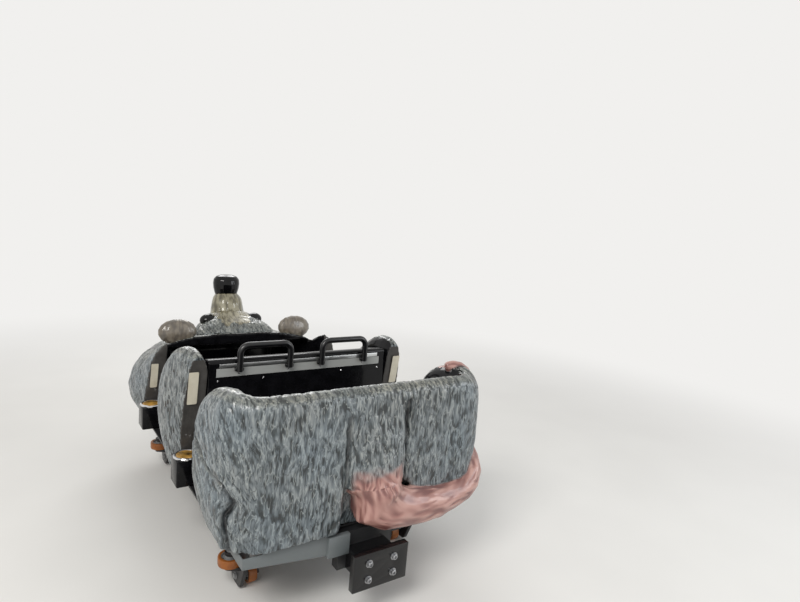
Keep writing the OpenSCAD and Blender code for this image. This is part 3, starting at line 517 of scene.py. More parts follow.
def spread_over(values, pairs, weights, rounds, share=0.6):
    """Moves each value towards the weighted mean of its neighbours, again and again."""
    a, b = pairs[:, 0], pairs[:, 1]
    count = len(values)
    total = np.bincount(a, weights, count) + np.bincount(b, weights, count) + 1e-12
    columns = values.reshape(count, -1).T.copy()
    for _ in range(rounds):
        for i, column in enumerate(columns):
            near = np.bincount(a, weights * column[b], count) + np.bincount(b, weights * column[a], count)
            columns[i] = column + share * (near / total - column)
    return columns.T.reshape(values.shape)


def smoothed(points, pairs, rounds):
    """Evens the surface out without shrinking it."""
    even = np.ones(len(pairs))
    for _ in range(rounds):
        for share in (0.5, -0.52):
            points = spread_over(points, pairs, even, 1, share)
    return points


def ease(t):
    t = np.clip(t, 0, 1)
    return t * t * (3 - 2 * t)


print("helpers for moulded pieces ready")

# %% [markdown]
# ## Carved fur
#
# On the real moulding the fur is short strokes cut side by side, about 16 mm apart and 60 to
# 100 mm long, all lying the way an animal's hair lies. Random values are spread along that
# direction only, from point to point over the surface, so they grow into such strokes and
# follow every bend. The strokes then push the surface in, and the same values are kept in
# the groove attribute for the paint.

# %% Carving
def along(directions, normals):
    """The directions laid into the surface, as unit vectors."""
    flat = directions - normals * np.sum(directions * normals, 1)[:, None]
    return flat / (np.linalg.norm(flat, axis=1)[:, None] + 1e-9)


def blobs(points, size, seed):
    """Slow noise from -1 to 1: a few sine waves in fixed random directions, about size apart."""
    draw = np.random.default_rng(seed)
    total = np.zeros(len(points))
    for _ in range(7):
        way = draw.normal(size=3)
        way *= 2 * math.pi / size / np.linalg.norm(way) * draw.uniform(0.7, 1.3)
        total += np.sin(points @ way + draw.uniform(0, 2 * math.pi))
    return total / 7 ** 0.5 / 1.2


def strokes(points, normals, pairs, directions, rounds, seed, widen, wander):
    """Random strokes along the directions, as values with mean 0 and spread 1."""
    ways = along(directions, normals)
    side = np.cross(normals, ways)
    turn = wander * blobs(points, 0.16, seed + 1) + 0.4 * wander * blobs(points, 0.06, seed + 2)
    ways = ways * np.cos(turn)[:, None] + side * np.sin(turn)[:, None]
    a, b = pairs[:, 0], pairs[:, 1]
    step = points[b] - points[a]
    length = np.linalg.norm(step, axis=1) + 1e-9
    cosine = np.abs(np.sum(step / length[:, None] * (ways[a] + ways[b]) / 2, axis=1))
    values = np.random.default_rng(seed).normal(size=len(points))
    values = spread_over(values, pairs, np.ones(len(pairs)), widen, 0.7)
    values = spread_over(values, pairs, cosine ** 12 + 0.002, rounds, 0.8)
    return (values - values.mean()) / values.std()


def keep_values(mesh, name, values):
    held = mesh.attributes.new(name, "FLOAT", "POINT")
    held.data.foreach_set("value", np.clip(values, 0, 1).astype(np.float32))


FINE_ROUNDS, BROAD_ROUNDS, SKIN_ROUNDS, WANDER = 7, 21, 26, 0.3


def carve(mesh, directions, depth_mm, seed, where, smooth=8, coarse=0.12, long_where=None, reshape=None):
    """Smooths the mesh, carves strokes into it and keeps the groove and lie attributes. where
    gives the share of the depth at each point, and coarse the share of broad strokes. Where
    long_where says so, the strokes are the longer wrinkles of skin instead. reshape may move the
    smoothed points before the carving."""
    pairs, edge_count = links_of(mesh)
    points = smoothed(points_of(mesh), pairs[:edge_count], smooth)
    if reshape is not None:
        points = reshape(points, pairs[:edge_count])
    set_points(mesh, points)
    normals = normals_of(mesh)
    ways = directions(points, normals)
    fine = strokes(points, normals, pairs, ways, FINE_ROUNDS, seed, 0, WANDER)
    broad = strokes(points, normals, pairs, ways, BROAD_ROUNDS, seed + 10, 2, WANDER)
    height = fine * (1 - coarse) + broad * coarse
    height = np.tanh(1.1 * (height / height.std() + 0.3))
    if long_where is not None:
        wrinkles = strokes(points, normals, pairs, ways, SKIN_ROUNDS, seed + 20, 0, 0.6 * WANDER)
        height[long_where] = np.tanh(wrinkles[long_where] * 1.1 + 0.3)
    share = where(points, normals)
    set_points(mesh, points + normals * ((height - 0.2) * depth_mm / 2 * MM * share)[:, None])
    keep_values(mesh, "groove", 0.5 + 0.5 * height)
    keep_values(mesh, "lie", ease((normals[:, 2] - 0.4) / 0.35))


def paint_faces(mesh, choose):
    """Gives each face the material number that choose says for its middle and normal."""
    centres = np.empty(3 * len(mesh.polygons))
    facing = np.empty(3 * len(mesh.polygons))
    mesh.polygons.foreach_get("center", centres)
    mesh.polygons.foreach_get("normal", facing)
    numbers = choose(centres.reshape(-1, 3), facing.reshape(-1, 3)).astype(np.int32)
    mesh.polygons.foreach_set("material_index", numbers)
    mesh.polygons.foreach_set("use_smooth", np.ones(len(mesh.polygons), bool))


def split_finer(mesh, choose):
    """Cuts the chosen faces into four."""
    bm = bmesh.new()
    bm.from_mesh(mesh)
    centres = np.array([f.calc_center_median() for f in bm.faces])
    facing = np.array([f.normal for f in bm.faces])
    wanted = choose(centres, facing)
    edges = {e for f, yes in zip(bm.faces, wanted) if yes for e in f.edges}
    bmesh.ops.subdivide_edges(bm, edges=list(edges), cuts=1, use_grid_fill=True)
    return mesh_from(mesh.name, bm)


print("carving ready")

# %% [markdown]
# ## Rump and tail
#
# The rump and the tail come out of one mould, so they are remeshed together, which lets the
# root of the tail flow out of the middle column. The outer faces are cut finer than the black
# inside, because only they carry fur. One mesh stands for both, so that fur turns to skin at
# the root with no line between them.

# %% Rump and tail
TAIL_ROUTE = np.array([
    (0.010, -1.162, 0.620), (0.010, -1.170, 0.582), (0.018, -1.180, 0.536), (0.086, -1.188, 0.496),
    (0.167, -1.196, 0.480), (0.267, -1.200, 0.466), (0.367, -1.200, 0.460), (0.457, -1.192, 0.468),
    (0.556, -1.177, 0.482), (0.615, -1.159, 0.504), (0.664, -1.124, 0.542), (0.689, -1.069, 0.590),
    (0.692, -1.011, 0.646), (0.691, -0.962, 0.722), (0.690, -0.934, 0.802), (0.692, -0.934, 0.882),
    (0.697, -0.952, 0.956), (0.699, -0.964, 1.012), (0.681, -0.966, 1.056), (0.647, -0.960, 1.084),
    (0.607, -0.948, 1.092), (0.569, -0.932, 1.086)])
ROOT_X, ROOT_HALF = 0.010, 0.157
PINK_FROM, PINK_TO = 0.735, 0.650
# Creases cut deeper by hand on the real moulding: route, depth and half width in mm, how dark their painted
# shade is
RIGHT_CREASE = np.array([(0.170, -1.180, 1.000), (0.169, -1.158, 0.930), (0.169, -1.152, 0.620)])
LEFT_CREASE = np.array([(-0.150, -1.182, 0.960), (-0.150, -1.172, 0.860), (-0.149, -1.168, 0.640),
                        (-0.146, -1.165, 0.410)])
THIGH_FOLD = np.array([(-0.706, -0.690, 0.780), (-0.710, -0.913, 0.735), (-0.700, -1.060, 0.715),
                       (-0.663, -1.110, 0.643), (-0.690, -1.075, 0.560), (-0.680, -1.078, 0.490),
                       (-0.666, -1.083, 0.405)])
CREASES = ((RIGHT_CREASE, 15, 10, 0.9), (LEFT_CREASE, 11, 11, 0.75), (THIGH_FOLD, 26, 13, 1.0))
# The tail's tip lies over the right hip's crest, which dips there
TIP_ROUTE = np.array([(0.604, -0.842, 1.050), (0.632, -0.926, 1.079), (0.662, -0.996, 1.068),
                      (0.672, -1.060, 1.040), (0.676, -1.090, 1.000)])
CREST_DIP, DIP_AT, DIP_ACROSS, DIP_FROM_Z = 0.032, (0.665, -1.115), 0.085, 0.90
CABIN_X, CABIN_Y = 0.45, -0.95


def faces_cabin(c, n):
    """Whether a face of the rear shell looks into the cabin or down."""
    middle = np.stack([np.clip(c[:, 0], -CABIN_X, CABIN_X), np.maximum(c[:, 1], CABIN_Y), c[:, 2]], 1)
    inward = middle - c
    inward /= np.linalg.norm(inward, axis=1)[:, None] + 1e-9
    return (np.sum(inward * n, 1) > 0.55) | (n[:, 2] < -0.8)


def near_route(c, route):
    """Nearest distance to a route of points, and the direction of the route there."""
    best = np.full(len(c), 9.0)
    ways = np.zeros((len(c), 3))
    for a, b in zip(route[:-1], route[1:]):
        if np.allclose(a, b, atol=1e-6):
            continue
        share = np.clip((c - a) @ (b - a) / ((b - a) @ (b - a)), 0, 1)
        distance = np.linalg.norm(c - a - share[:, None] * (b - a), axis=1)
        nearer = distance < best
        best[nearer] = distance[nearer]
        ways[nearer] = (b - a) / np.linalg.norm(b - a)
    return best, ways


def laid_on(tree, route):
    """A route in short steps, each step moved to the nearest spot of a surface."""
    steps = [a + (b - a) * np.linspace(0, 1, 9)[:, None] for a, b in zip(route[:-1], route[1:])]
    return np.array([tree.find_nearest(Vector(p))[0] for p in np.concatenate(steps)])


def tree_of(*nodes):
    bm = merged_copy(*nodes)
    tree = BVHTree.FromBMesh(bm)
    bm.free()
    return tree


def distances(tree, points):
    return np.array([tree.find_nearest(Vector(p))[3] for p in points])


# Faces this wide in mm, halved where the shells carry fur
SHELL_VOXEL = 11.1
# How far round its middle line the tail reaches, and the cap on the difference of distances
TAIL_NEAR, SIDE_CAP = 0.17, 0.03
rump = remeshed("rump", merged_copy("rear_shell", "tail"), SHELL_VOXEL)
rump = split_finer(rump, lambda c, n: ~faces_cabin(c, n))
rump_points = points_of(rump)
rump_tree = tree_of("rear_shell")
creases = [(laid_on(rump_tree, route), *rest) for route, *rest in CREASES]
rump_pairs, _ = links_of(rump)
to_tail, tail_ways = near_route(rump_points, TAIL_ROUTE)

# How much nearer a point is to the tail than to the shell, evened out along the boundary
skin_side = distances(rump_tree, rump_points) - distances(tree_of("tail"), rump_points)
skin_side = np.where(to_tail < TAIL_NEAR, skin_side, -SIDE_CAP)
skin_side = spread_over(np.clip(skin_side, -SIDE_CAP, SIDE_CAP), rump_pairs, np.ones(len(rump_pairs)), 6)
tail_nearer = skin_side > 0

# The foot of the middle column, where fur turns to skin with no edge between them
column = ease((ROOT_HALF - 0.004 - np.abs(rump_points[:, 0] - ROOT_X)) / 0.03) * (rump_points[:, 1] < -1.13)
root_foot = column * ease((rump_points[:, 2] - 0.48) / 0.05) * ease((0.76 - rump_points[:, 2]) / 0.05)
parting = np.exp(-(skin_side / 0.006) ** 2) * (1 - column) * (to_tail < TAIL_NEAR)
FOOT_ROUNDS, PARTING_MM = 110, 5.0


def reshape_rump(points, pairs):
    """Evens out the root's foot, dips the crest, then cuts the parting beside the tail and the
    creases, each with a low swelling on both sides."""
    even = np.ones(len(pairs))
    for _ in range(FOOT_ROUNDS):
        moved = spread_over(points, pairs, even, 1, 0.6)
        points = points + (moved - points) * (0.9 * root_foot)[:, None]
    away = np.linalg.norm(points[:, :2] - DIP_AT, axis=1)
    at_crest = ease((points[:, 2] - DIP_FROM_Z) / 0.12) * (skin_side < 0)
    dip = CREST_DIP * np.exp(-(away / DIP_ACROSS) ** 2) * at_crest
    points = points - dip[:, None] * (0, 0, 1)
    set_points(rump, points)
    normals = normals_of(rump)
    outer = ~faces_cabin(points, normals)
    cut = PARTING_MM * parting
    for route, depth, half_width, _ in creases:
        distance, _ = near_route(points, route)
        cut += depth * np.exp(-(distance / (half_width * MM)) ** 2)
        cut -= 5.0 * np.exp(-((distance - 3.0 * half_width * MM) / (1.4 * half_width * MM)) ** 2)
    points = points - normals * (cut * outer * MM)[:, None]
    return smoothed(points, pairs, 2)


# Painted shade along the parting beside the tail and in the creases, kept in the shade attribute
shade = 0.85 * parting
for route, _, half_width, dark in creases:
    distance, _ = near_route(rump_points, route)
    shade = np.maximum(shade, dark * np.exp(-(distance / (1.25 * half_width * MM)) ** 2))
keep_values(rump, "shade", shade)


def rump_directions(p, n):
    down = np.stack([0.12 * blobs(p, 0.4, 3), np.full(len(p), -0.35), np.full(len(p), -1.0)], 1)
    distance, fold_ways = near_route(p, creases[2][0])
    share = 0.85 * np.exp(-(distance / 0.16) ** 2)[:, None]
    down = down * (1 - share) + fold_ways * share
    return np.where(tail_nearer[:, None], tail_ways, down)


def rump_depth(p, n):
    return np.where(tail_nearer, 0.45, np.where(faces_cabin(p, n), 0.0, 1.0))


carve(rump, rump_directions, 5.5, SEED, rump_depth, long_where=tail_nearer, reshape=reshape_rump)
blush = PINK_FROM - PINK_TO
soft_edge = ease((PINK_FROM + 0.014 * blobs(rump_points, 0.05, 21) - rump_points[:, 2]) / blush)
sharp_edge = np.clip(0.5 + skin_side / 0.004, 0, 1)
pink = np.maximum(sharp_edge * np.maximum(soft_edge, rump_points[:, 0] > 0.19), soft_edge * column)
tip_away, _ = near_route(rump_points, TIP_ROUTE)
pink = np.maximum(pink, ease((0.030 - tip_away) / 0.008) * ~faces_cabin(rump_points, normals_of(rump)))
keep_values(rump, "pink", pink)
print("rump and tail", len(rump.vertices), "points")

# %% Rump and tail as a piece
rump_shell = new_object("rump_and_tail", rump, FUR, INSIDE)
starts, corners = np.empty(len(rump.polygons), np.int32), np.empty(len(rump.loops), np.int32)
rump.polygons.foreach_get("loop_start", starts)
rump.loops.foreach_get("vertex_index", corners)
on_tail = tail_nearer[corners[starts]]
paint_faces(rump, lambda c, n: faces_cabin(c, n) & ~on_tail)
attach(rump_shell, "car")
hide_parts("rear_shell", "tail")
print(rump_shell.name, len(rump.polygons), "faces")

# %% [markdown]
# ## Wings and cowl
#
# The same carving on the two wings and on the cowl. Their rear faces are the flat trimmed
# edges of the mouldings, in dark gelcoat, and what looks into the cabin is black. In the packed
# cowl the footwell's roof comes through the shoulders in two thin slits, which no moulding has,
# so the copy gets a patch over each before it is remeshed.

# %% Wings and cowl
def strokes_down(lean):
    """Strokes that run down, and backwards by lean on surfaces that face up."""
    def directions(p, n):
        return np.stack([0.12 * blobs(p, 0.4, 5), np.full(len(p), -lean), np.full(len(p), -1.0)], 1)
    return directions


def wing_faces(side):
    def choose(c, n):
        inside = (n[:, 0] * side < -0.5) | (n[:, 2] < -0.8)
        cut = (n[:, 1] < -0.72) & (c[:, 2] < 1.06)
        return np.where(cut, 2, np.where(inside, 1, 0))
    return choose


def moulding(name, node, voxel, choose, directions, depth_mm, seed, finishes, slot, finer=False,
             add_to=None, **settings):
    """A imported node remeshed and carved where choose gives 0, with the finishes by number.
    add_to may add to the copy of the node before it is remeshed."""
    bm = merged_copy(node)
    if add_to is not None:
        add_to(bm)
    mesh = remeshed(name, bm, voxel)
    if finer:
        mesh = split_finer(mesh, lambda c, n: choose(c, n) == 0)
    carve(mesh, directions, depth_mm, seed, lambda p, n: choose(p, n) == 0, **settings)
    for name_kept in ("pink", "shade"):
        keep_values(mesh, name_kept, np.zeros(len(mesh.vertices)))
    made = new_object(name, mesh, *finishes)
    paint_faces(mesh, choose)
    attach(made, "car")
    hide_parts(node)
    print(name, len(mesh.polygons), "faces")


for side, word in ((-1, "left"), (1, "right")):
    moulding(f"wing_{word}_fur", f"wing_{word}", 5.2, wing_faces(side), strokes_down(0.3), 5.0,
             SEED + 3 + side, (FUR, INSIDE, CUT_FACE), "fur_shell", smooth=6)

CABIN_HALF, DASH_Y, FOOTWELL_END, FOOTWELL_TOP = 0.560, 0.705, 1.110, 0.87


def cowl_faces(c, n):
    """0 outside, 1 inside the footwell, 2 the trimmed rear face."""
    x, y, z = np.abs(c[:, 0]), c[:, 1], c[:, 2]
    between = x < CABIN_HALF + 0.004
    inside = between & (y < DASH_Y + 0.004) & (n[:, 2] < 0.7)
    roof = FOOTWELL_TOP - 0.1 * ease((y - DASH_Y) / 0.5)
    inside |= between & (y < FOOTWELL_END + 0.006) & (z < roof)
    inside |= n[:, 2] < -0.8
    cut = (n[:, 1] < -0.72) & (x > CABIN_HALF)
    return np.where(cut, 2, np.where(inside, 1, 0))


PATCH_YS, PATCH_THICK, PATCH_WIDE = np.linspace(0.710, 0.965, 14), 0.012, 0.065
# The patch's inner edge: x at a y of PATCH_FROM, and how fast it comes in from there
PATCH_X, PATCH_FROM, PATCH_SLANT, ABOVE_COWL = 0.525, 0.73, 0.25, 1.3


def shoulder_patches(bm):
    """Closes the two thin slits where the footwell's roof comes near the cowl's shoulders."""
    tree = BVHTree.FromBMesh(bm)
    for side in (-1, 1):
        rows = []
        for y in PATCH_YS:
            inner = PATCH_X - PATCH_SLANT * (y - PATCH_FROM)
            tops = [tree.ray_cast(Vector((side * x, y, ABOVE_COWL)), Vector((0, 0, -1)))[0]
                    for x in (inner, inner + PATCH_WIDE)]
            rows.append([top - Vector((0, 0, drop)) for drop in (0.0, PATCH_THICK) for top in tops])
        rings = [[bm.verts.new(row[i]) for i in (0, 1, 3, 2)] for row in rows]
        for ring, after in zip(rings[:-1], rings[1:]):
            for i in range(4):
                bm.faces.new((ring[i], ring[i - 1], after[i - 1], after[i]))
        ends = [bm.faces.new(rings[0]), bm.faces.new(rings[-1][::-1])]
        near_ends = {f for e in ends for v in e.verts for f in v.link_faces}
        bmesh.ops.recalc_face_normals(bm, faces=list(near_ends))


moulding("cowl_fur_shell", "front_shell", SHELL_VOXEL, cowl_faces, strokes_down(0.8), 5.0, SEED + 20,
         (FUR, INSIDE, CUT_FACE), "fur_shell", finer=True, add_to=shoulder_patches)

# %% [markdown]
# ## Head
#
# The dome of the head is furry, and its top is cream like the smooth muzzle that rises from it.
# The nose and eyes are black lacquer. The ears are smooth dishes with a thick rim.

# %% Head, muzzle, nose, ears and eyes
def all_outside(c, n):
    return np.zeros(len(c))


def strokes_back(p, n):
    return np.stack([0.25 * p[:, 0] / 0.3, np.full(len(p), -1.0), np.full(len(p), -0.45)], 1)


def head_faces(c, n):
    """1 where the cream of the muzzle runs down over the dome between the eyes."""
    edge = 0.982 + 0.010 * blobs(c, 0.05, 61) + 0.9 * np.maximum(np.abs(c[:, 0]) - 0.09, 0)
    return np.where(c[:, 2] > edge, 1, 0)


moulding("head_fur", "head", 4.8, head_faces, strokes_back, 4.4, SEED + 30, (FUR, CREAM), "fur_shell",
         smooth=10)
moulding("muzzle_skin", "muzzle", 4.6, all_outside, strokes_down(0.2), 1.4, SEED + 31, (CREAM,),
         "muzzle_cream", smooth=20, coarse=0.7)
moulding("ear_dishes", "ears", 4.0, all_outside, strokes_down(0.2), 1.0, SEED + 32, (EAR,), "ear_shell",
         smooth=8, coarse=0.8)
moulding("nose_ball", "nose", 4.5, all_outside, strokes_down(0.2), 0.0, SEED + 33, (BLACK_LACQUER,),
         "gloss_black", smooth=60)

# %% [markdown]
# ## Hard parts
#
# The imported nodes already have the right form, so most of them only get their finish. Where
# an edge would catch the light, a copy with rounded edges stands for the node: its flat faces
# are joined again, and the sharp edges bevelled. Turned parts are spun from a profile.

# %% Rounded copies, turned parts and fasteners
SHARP = math.radians(32)


def finished(name, mesh, body, slot, *finishes, nodes=()):
    """A piece with smooth shading up to SHARP, its body and the nodes it stands for. slot is not used."""
    mesh.polygons.foreach_set("use_smooth", np.ones(len(mesh.polygons), bool))
    mesh.set_sharp_from_angle(angle=SHARP)
    made = new_object(name, mesh, *finishes)
    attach(made, body)
    if nodes:
        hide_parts(*nodes)
    return made


def bevel(bm, geom, offset, segments=3, affect="EDGES", clamp=False):
    """Rounds edges or corners, with the settings that the editor starts from."""
    bmesh.ops.bevel(bm, geom=geom, offset=offset, offset_type="OFFSET", affect=affect,
                    segments=segments, profile=0.5, material=-1, clamp_overlap=clamp)


def rounded(name, node, radius_mm, body, slot, finish, segments=3):
    """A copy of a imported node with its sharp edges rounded."""
    bm = merged_copy(node)
    bmesh.ops.dissolve_limit(bm, angle_limit=math.radians(1.5), verts=bm.verts, edges=bm.edges)
    sharp = [e for e in bm.edges if e.is_manifold and e.calc_face_angle() > math.radians(28)]
    bevel(bm, sharp, radius_mm * MM, segments, clamp=True)
    mesh = with_modifiers(name, mesh_from(name, bm), ("WEIGHTED_NORMAL", dict(keep_sharp=True)))
    finished(name, mesh, body, slot, finish, nodes=(node,))


def turned(bm, profile, steps=64, matrix=Matrix(), material_index=0):
    """Spins a profile of (radius, height) in metres round Z, then moves it by matrix."""
    before = set(bm.faces)
    verts = [bm.verts.new((r, 0, h)) for r, h in profile]
    edges = [bm.edges.new(pair) for pair in zip(verts[:-1], verts[1:])]
    bmesh.ops.spin(bm, geom=verts + edges, cent=(0, 0, 0), axis=(0, 0, 1), dvec=(0, 0, 0), angle=2 * math.pi,
                   steps=steps, use_merge=True, use_normal_flip=False, use_duplicate=False)
    bmesh.ops.remove_doubles(bm, verts=bm.verts[:], dist=0.005 * MM)
    made = [f for f in bm.faces if f not in before]
    bmesh.ops.recalc_face_normals(bm, faces=made)
    for face in made:
        face.material_index = material_index
    moved = list({v for f in made for v in f.verts})
    bmesh.ops.transform(bm, matrix=matrix, verts=moved)


def facing(at, way):
    """A matrix that puts the origin at a point, with Z turned to a direction."""
    return Matrix.Translation(at) @ Vector(way).to_track_quat("Z", "Y").to_matrix().to_4x4()


def cap_screw(bm, at, way, d_mm):
    """A socket head cap screw on its washer, its head d_mm across."""
    r = d_mm / 2 * MM
    turned(bm, [(0, 0), (1.45 * r, 0), (1.45 * r, 0.18 * r), (r, 0.2 * r), (r, 1.05 * r),
                (0.86 * r, 1.2 * r), (0.5 * r, 1.2 * r), (0.5 * r, 0.7 * r), (0, 0.7 * r)], 18,
           facing(at, way))


def dome_screw(bm, at, way, d_mm):
    """A button head screw with its small hexagon socket."""
    r = d_mm / 2 * MM
    turned(bm, [(0, 0), (r, 0), (0.95 * r, 0.2 * r), (0.7 * r, 0.45 * r), (0.35 * r, 0.52 * r),
                (0.3 * r, 0.3 * r), (0, 0.3 * r)], 12, facing(at, way))


def hex_bolt(bm, at, way, d_mm, material_index=0):
    """A hexagon bolt head on a round washer."""
    r = d_mm / 2 * MM
    turned(bm, [(0, 0), (1.25 * r, 0), (1.25 * r, 0.16 * r), (0, 0.16 * r)], 20, facing(at, way),
           material_index)
    before = set(bm.faces)
    place_at = facing(at, way) @ Matrix.Translation((0, 0, 0.45 * r))
    bmesh.ops.create_cone(bm, cap_ends=True, segments=6, radius1=r, radius2=0.97 * r, depth=0.6 * r,
                          matrix=place_at)
    for face in set(bm.faces) - before:
        face.material_index = material_index


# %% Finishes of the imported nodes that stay
NODE_FINISHES = (
    (FRAME_PAINT, ("frame_tubes", "cross_members", "axles", "chain_dog", "bar_bases")),
    (CARRIER_PAINT, ("carrier_fl", "carrier_fr", "carrier_rl", "carrier_rr")),
    (TREAD_PLATE, ("floor_pan",)), (HANDLE_COAT, ("lap_bar_1", "lap_bar_2")),
    (FIN_STEEL, ("brake_fin",)), (BLACK_LACQUER, ("eyes",)))
for finish, nodes in NODE_FINISHES:
    for node in nodes:
        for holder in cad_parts[node].material_slots:
            holder.material = finish

# %% Seats, posts and buffers with rounded edges
for row in (1, 2):
    rounded(f"row_{row}_seat_tub", f"seat_row_{row}", 9, "car", "seat_black", SEAT_BLACK)
for end in ("rear", "front"):
    rounded(f"{end}_buffer_block", f"{end}_buffer", 4, "car", "buffer_black", BUFFER_PAINT)
rounded("tray_sheet", "rear_tray", 1.5, "car", "tray_sheet", TRAY_PAINT, 2)
rounded("sill_post_boxes", "sill_posts", 7, "car", "seat_black", SEAT_BLACK)
rounded("trim_strip", "seat_trim", 1.2, "car", "trim_aluminium", ALUMINIUM, 2)
print("rounded copies made")

# %% Wheels
HUB_CASTING = painted_steel("aluminium_hub_cast", "8D8E8F", "6A6A6A", 0.5, 0.55)
HUB_BOLTS = 5
# Kind, diameter, width and bore
WHEELS = (("run_wheel", 0.180, 0.064, 0.03616), ("guide_wheel", 0.120, 0.044, 0.02416),
          ("stop_wheel", 0.100, 0.044, 0.02416))


def wheel_mesh(name, d, w, bore):
    """A cast hub with a poured tread: tread 0, hub 1, bolts 2."""
    bm = bmesh.new()
    r, b, h = d / 2, bore / 2, w / 2
    rim = r - (r - b) * 0.30
    hub = b + (r - b) * 0.26
    turned(bm, [(rim - 0.001, -h + 0.001), (rim + 0.002, -h), (r - 0.005, -h), (r - 0.0015, -h + 0.0015),
                (r, -h + 0.006), (r, h - 0.006), (r - 0.0015, h - 0.0015), (r - 0.005, h), (rim + 0.002, h),
                (rim - 0.001, h - 0.001)], 72)
    turned(bm, [(b, -h - 0.003), (hub - 0.001, -h - 0.003), (hub, -h - 0.002), (hub + 0.002, -w / 5),
                (rim - 0.006, -w / 5), (rim - 0.003, -h + 0.002), (rim - 0.001, -h + 0.001),
                (rim - 0.001, h - 0.001), (rim - 0.003, h - 0.002), (rim - 0.006, w / 5),
                (hub + 0.002, w / 5), (hub, h + 0.002), (hub - 0.001, h + 0.003), (b, h + 0.003),
                (b, -h - 0.003)], 72, material_index=1)
    mid = (hub + rim) / 2
    for way in (-1, 1):
        for i in range(HUB_BOLTS):
            a = 2 * math.pi * i / HUB_BOLTS
            hex_bolt(bm, (mid * math.cos(a), mid * math.sin(a), way * w / 5), (0, 0, way), 9, 2)
    return mesh_from(name, bm)


for kind, d, w, bore in WHEELS:
    for corner in ("fl", "fr", "rl", "rr"):
        node = f"{kind}_{corner}"
        low, high = (np.array(v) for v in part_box(node))
        axis = (0, 0, 1) if kind == "guide_wheel" else (1, 0, 0)
        mesh = wheel_mesh(f"{node}_turned", d, w, bore)
        mesh.transform(facing(Vector((low + high) / 2), axis))
        finished(f"{node}_turned", mesh, node, "wheel_urethane", TREAD, HUB_CASTING, CHROME, nodes=(node,))
print("wheels made")

# %% Grab handles
HANDLE_Y, HANDLE_D, HANDLE_FOOT, HANDLE_TOP, BEND = -0.3713, 0.034, 0.983, 1.125, 0.045
LEG_IN, LEG_OUT = 0.100, 0.390
LEG_XS = (-LEG_OUT, -LEG_IN, LEG_IN, LEG_OUT)
bm = bmesh.new()
for side in (-1, 1):
    start = Vector((side * LEG_IN, HANDLE_Y, HANDLE_FOOT))
    ring = bmesh.ops.create_circle(bm, cap_ends=False, radius=HANDLE_D / 2, segments=20,
                                   matrix=Matrix.Translation(start))["verts"]
    bmesh.ops.contextual_create(bm, geom=list({e for v in ring for e in v.link_edges}))
    edges = [e for e in bm.edges if e.verts[0] in ring and e.verts[1] in ring]
    rise = HANDLE_TOP - BEND - HANDLE_FOOT
    # Up, round a bend, across, round a bend and down: a straight run or the centre of a bend
    legs = ((Vector((0, 0, rise)), None),
            (None, Vector((side * (LEG_IN + BEND), HANDLE_Y, HANDLE_TOP - BEND))),
            (Vector((side * (LEG_OUT - LEG_IN - 2 * BEND), 0, 0)), None),
            (None, Vector((side * (LEG_OUT - BEND), HANDLE_Y, HANDLE_TOP - BEND))),
            (Vector((0, 0, -rise)), None))
    for straight, centre in legs:
        if straight is not None:
            geom = bmesh.ops.extrude_edge_only(bm, edges=edges)["geom"]
            edges = [g for g in geom if isinstance(g, bmesh.types.BMEdge)]
            moved = [g for g in geom if isinstance(g, bmesh.types.BMVert)]
            bmesh.ops.translate(bm, verts=moved, vec=straight)
            edges = [e for e in edges if e.verts[0] in moved and e.verts[1] in moved]
        else:
            last = bmesh.ops.spin(bm, geom=edges, cent=centre, axis=(0, side, 0), dvec=(0, 0, 0),
                                  angle=math.pi / 2, steps=8, use_duplicate=False)["geom_last"]
            edges = [g for g in last if isinstance(g, bmesh.types.BMEdge)]
    bmesh.ops.contextual_create(bm, geom=edges)
bmesh.ops.recalc_face_normals(bm, faces=bm.faces)
SEAT_FACE_Y, FOOT_W, FOOT_H = -0.350, 0.048, 0.0177
for x in LEG_XS:
    middle = (x, (SEAT_FACE_Y + HANDLE_Y) / 2, HANDLE_FOOT + FOOT_H / 2)
    size = (FOOT_W, SEAT_FACE_Y - HANDLE_Y, FOOT_H, 1)
    block = bmesh.ops.create_cube(bm, size=1.0,
                                  matrix=Matrix.Translation(middle) @ Matrix.Diagonal(size))["verts"]
    bevel(bm, list({e for v in block for e in v.link_edges}), 0.004)
finished("grab_handle_tubes", mesh_from("grab_handle_tubes", bm), "car", "handle_black", HANDLE_COAT,
         nodes=("grab_handles",))
print("grab handles made")

# %% Sill lamps
LAMP_LOW, LAMP_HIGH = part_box("sill_lamps")
LAMP_R, LAMP_X, LAMP_Z = 0.066, 0.655, 0.544
LAMP_YS = sorted({round(v, 4) for v in (LAMP_LOW[1] + LAMP_R, LAMP_HIGH[1] - LAMP_R)})
bm = bmesh.new()
for x in (-LAMP_X, LAMP_X):
    for y in LAMP_YS:
        spot = Matrix.Translation((x, y, LAMP_Z))
        turned(bm, [(0.048, 0.0), (LAMP_R, 0.0), (0.0668, 0.002), (0.0668, 0.007), (0.064, 0.0105),
                    (0.058, 0.012), (0.054, 0.0095), (0.0525, 0.006), (0.048, 0.005), (0.048, 0.0)],
               64, spot, 0)
        turned(bm, [(0, 0.0), (0.0522, 0.0), (0.0522, 0.008), (0.045, 0.0125), (0.034, 0.0118),
                    (0.030, 0.0135), (0.018, 0.0135), (0.012, 0.016), (0, 0.016)], 48, spot, 1)
finished("sill_lamp_discs", mesh_from("sill_lamp_discs", bm), "car", "lamp_chrome", CHROME, LENS,
         nodes=("sill_lamps",))
print("sill lamps made")

# %% [markdown]
# ## Seat pads and lap pads
#
# The pads are foam in black vinyl. Each starts as a box a little smaller than its place, is
# remeshed, and is blown up as cloth with pressure and no gravity, so that it crowns and its
# sides pull in between the corners. How far a point may move is capped. The sewn channels
# are pressed in afterwards, because a remesh would lose them.

# %% Blown-up pads
PAD_VOXEL, PAD_PRESSURE, PAD_FRAMES = 8.5, 4.0, 20


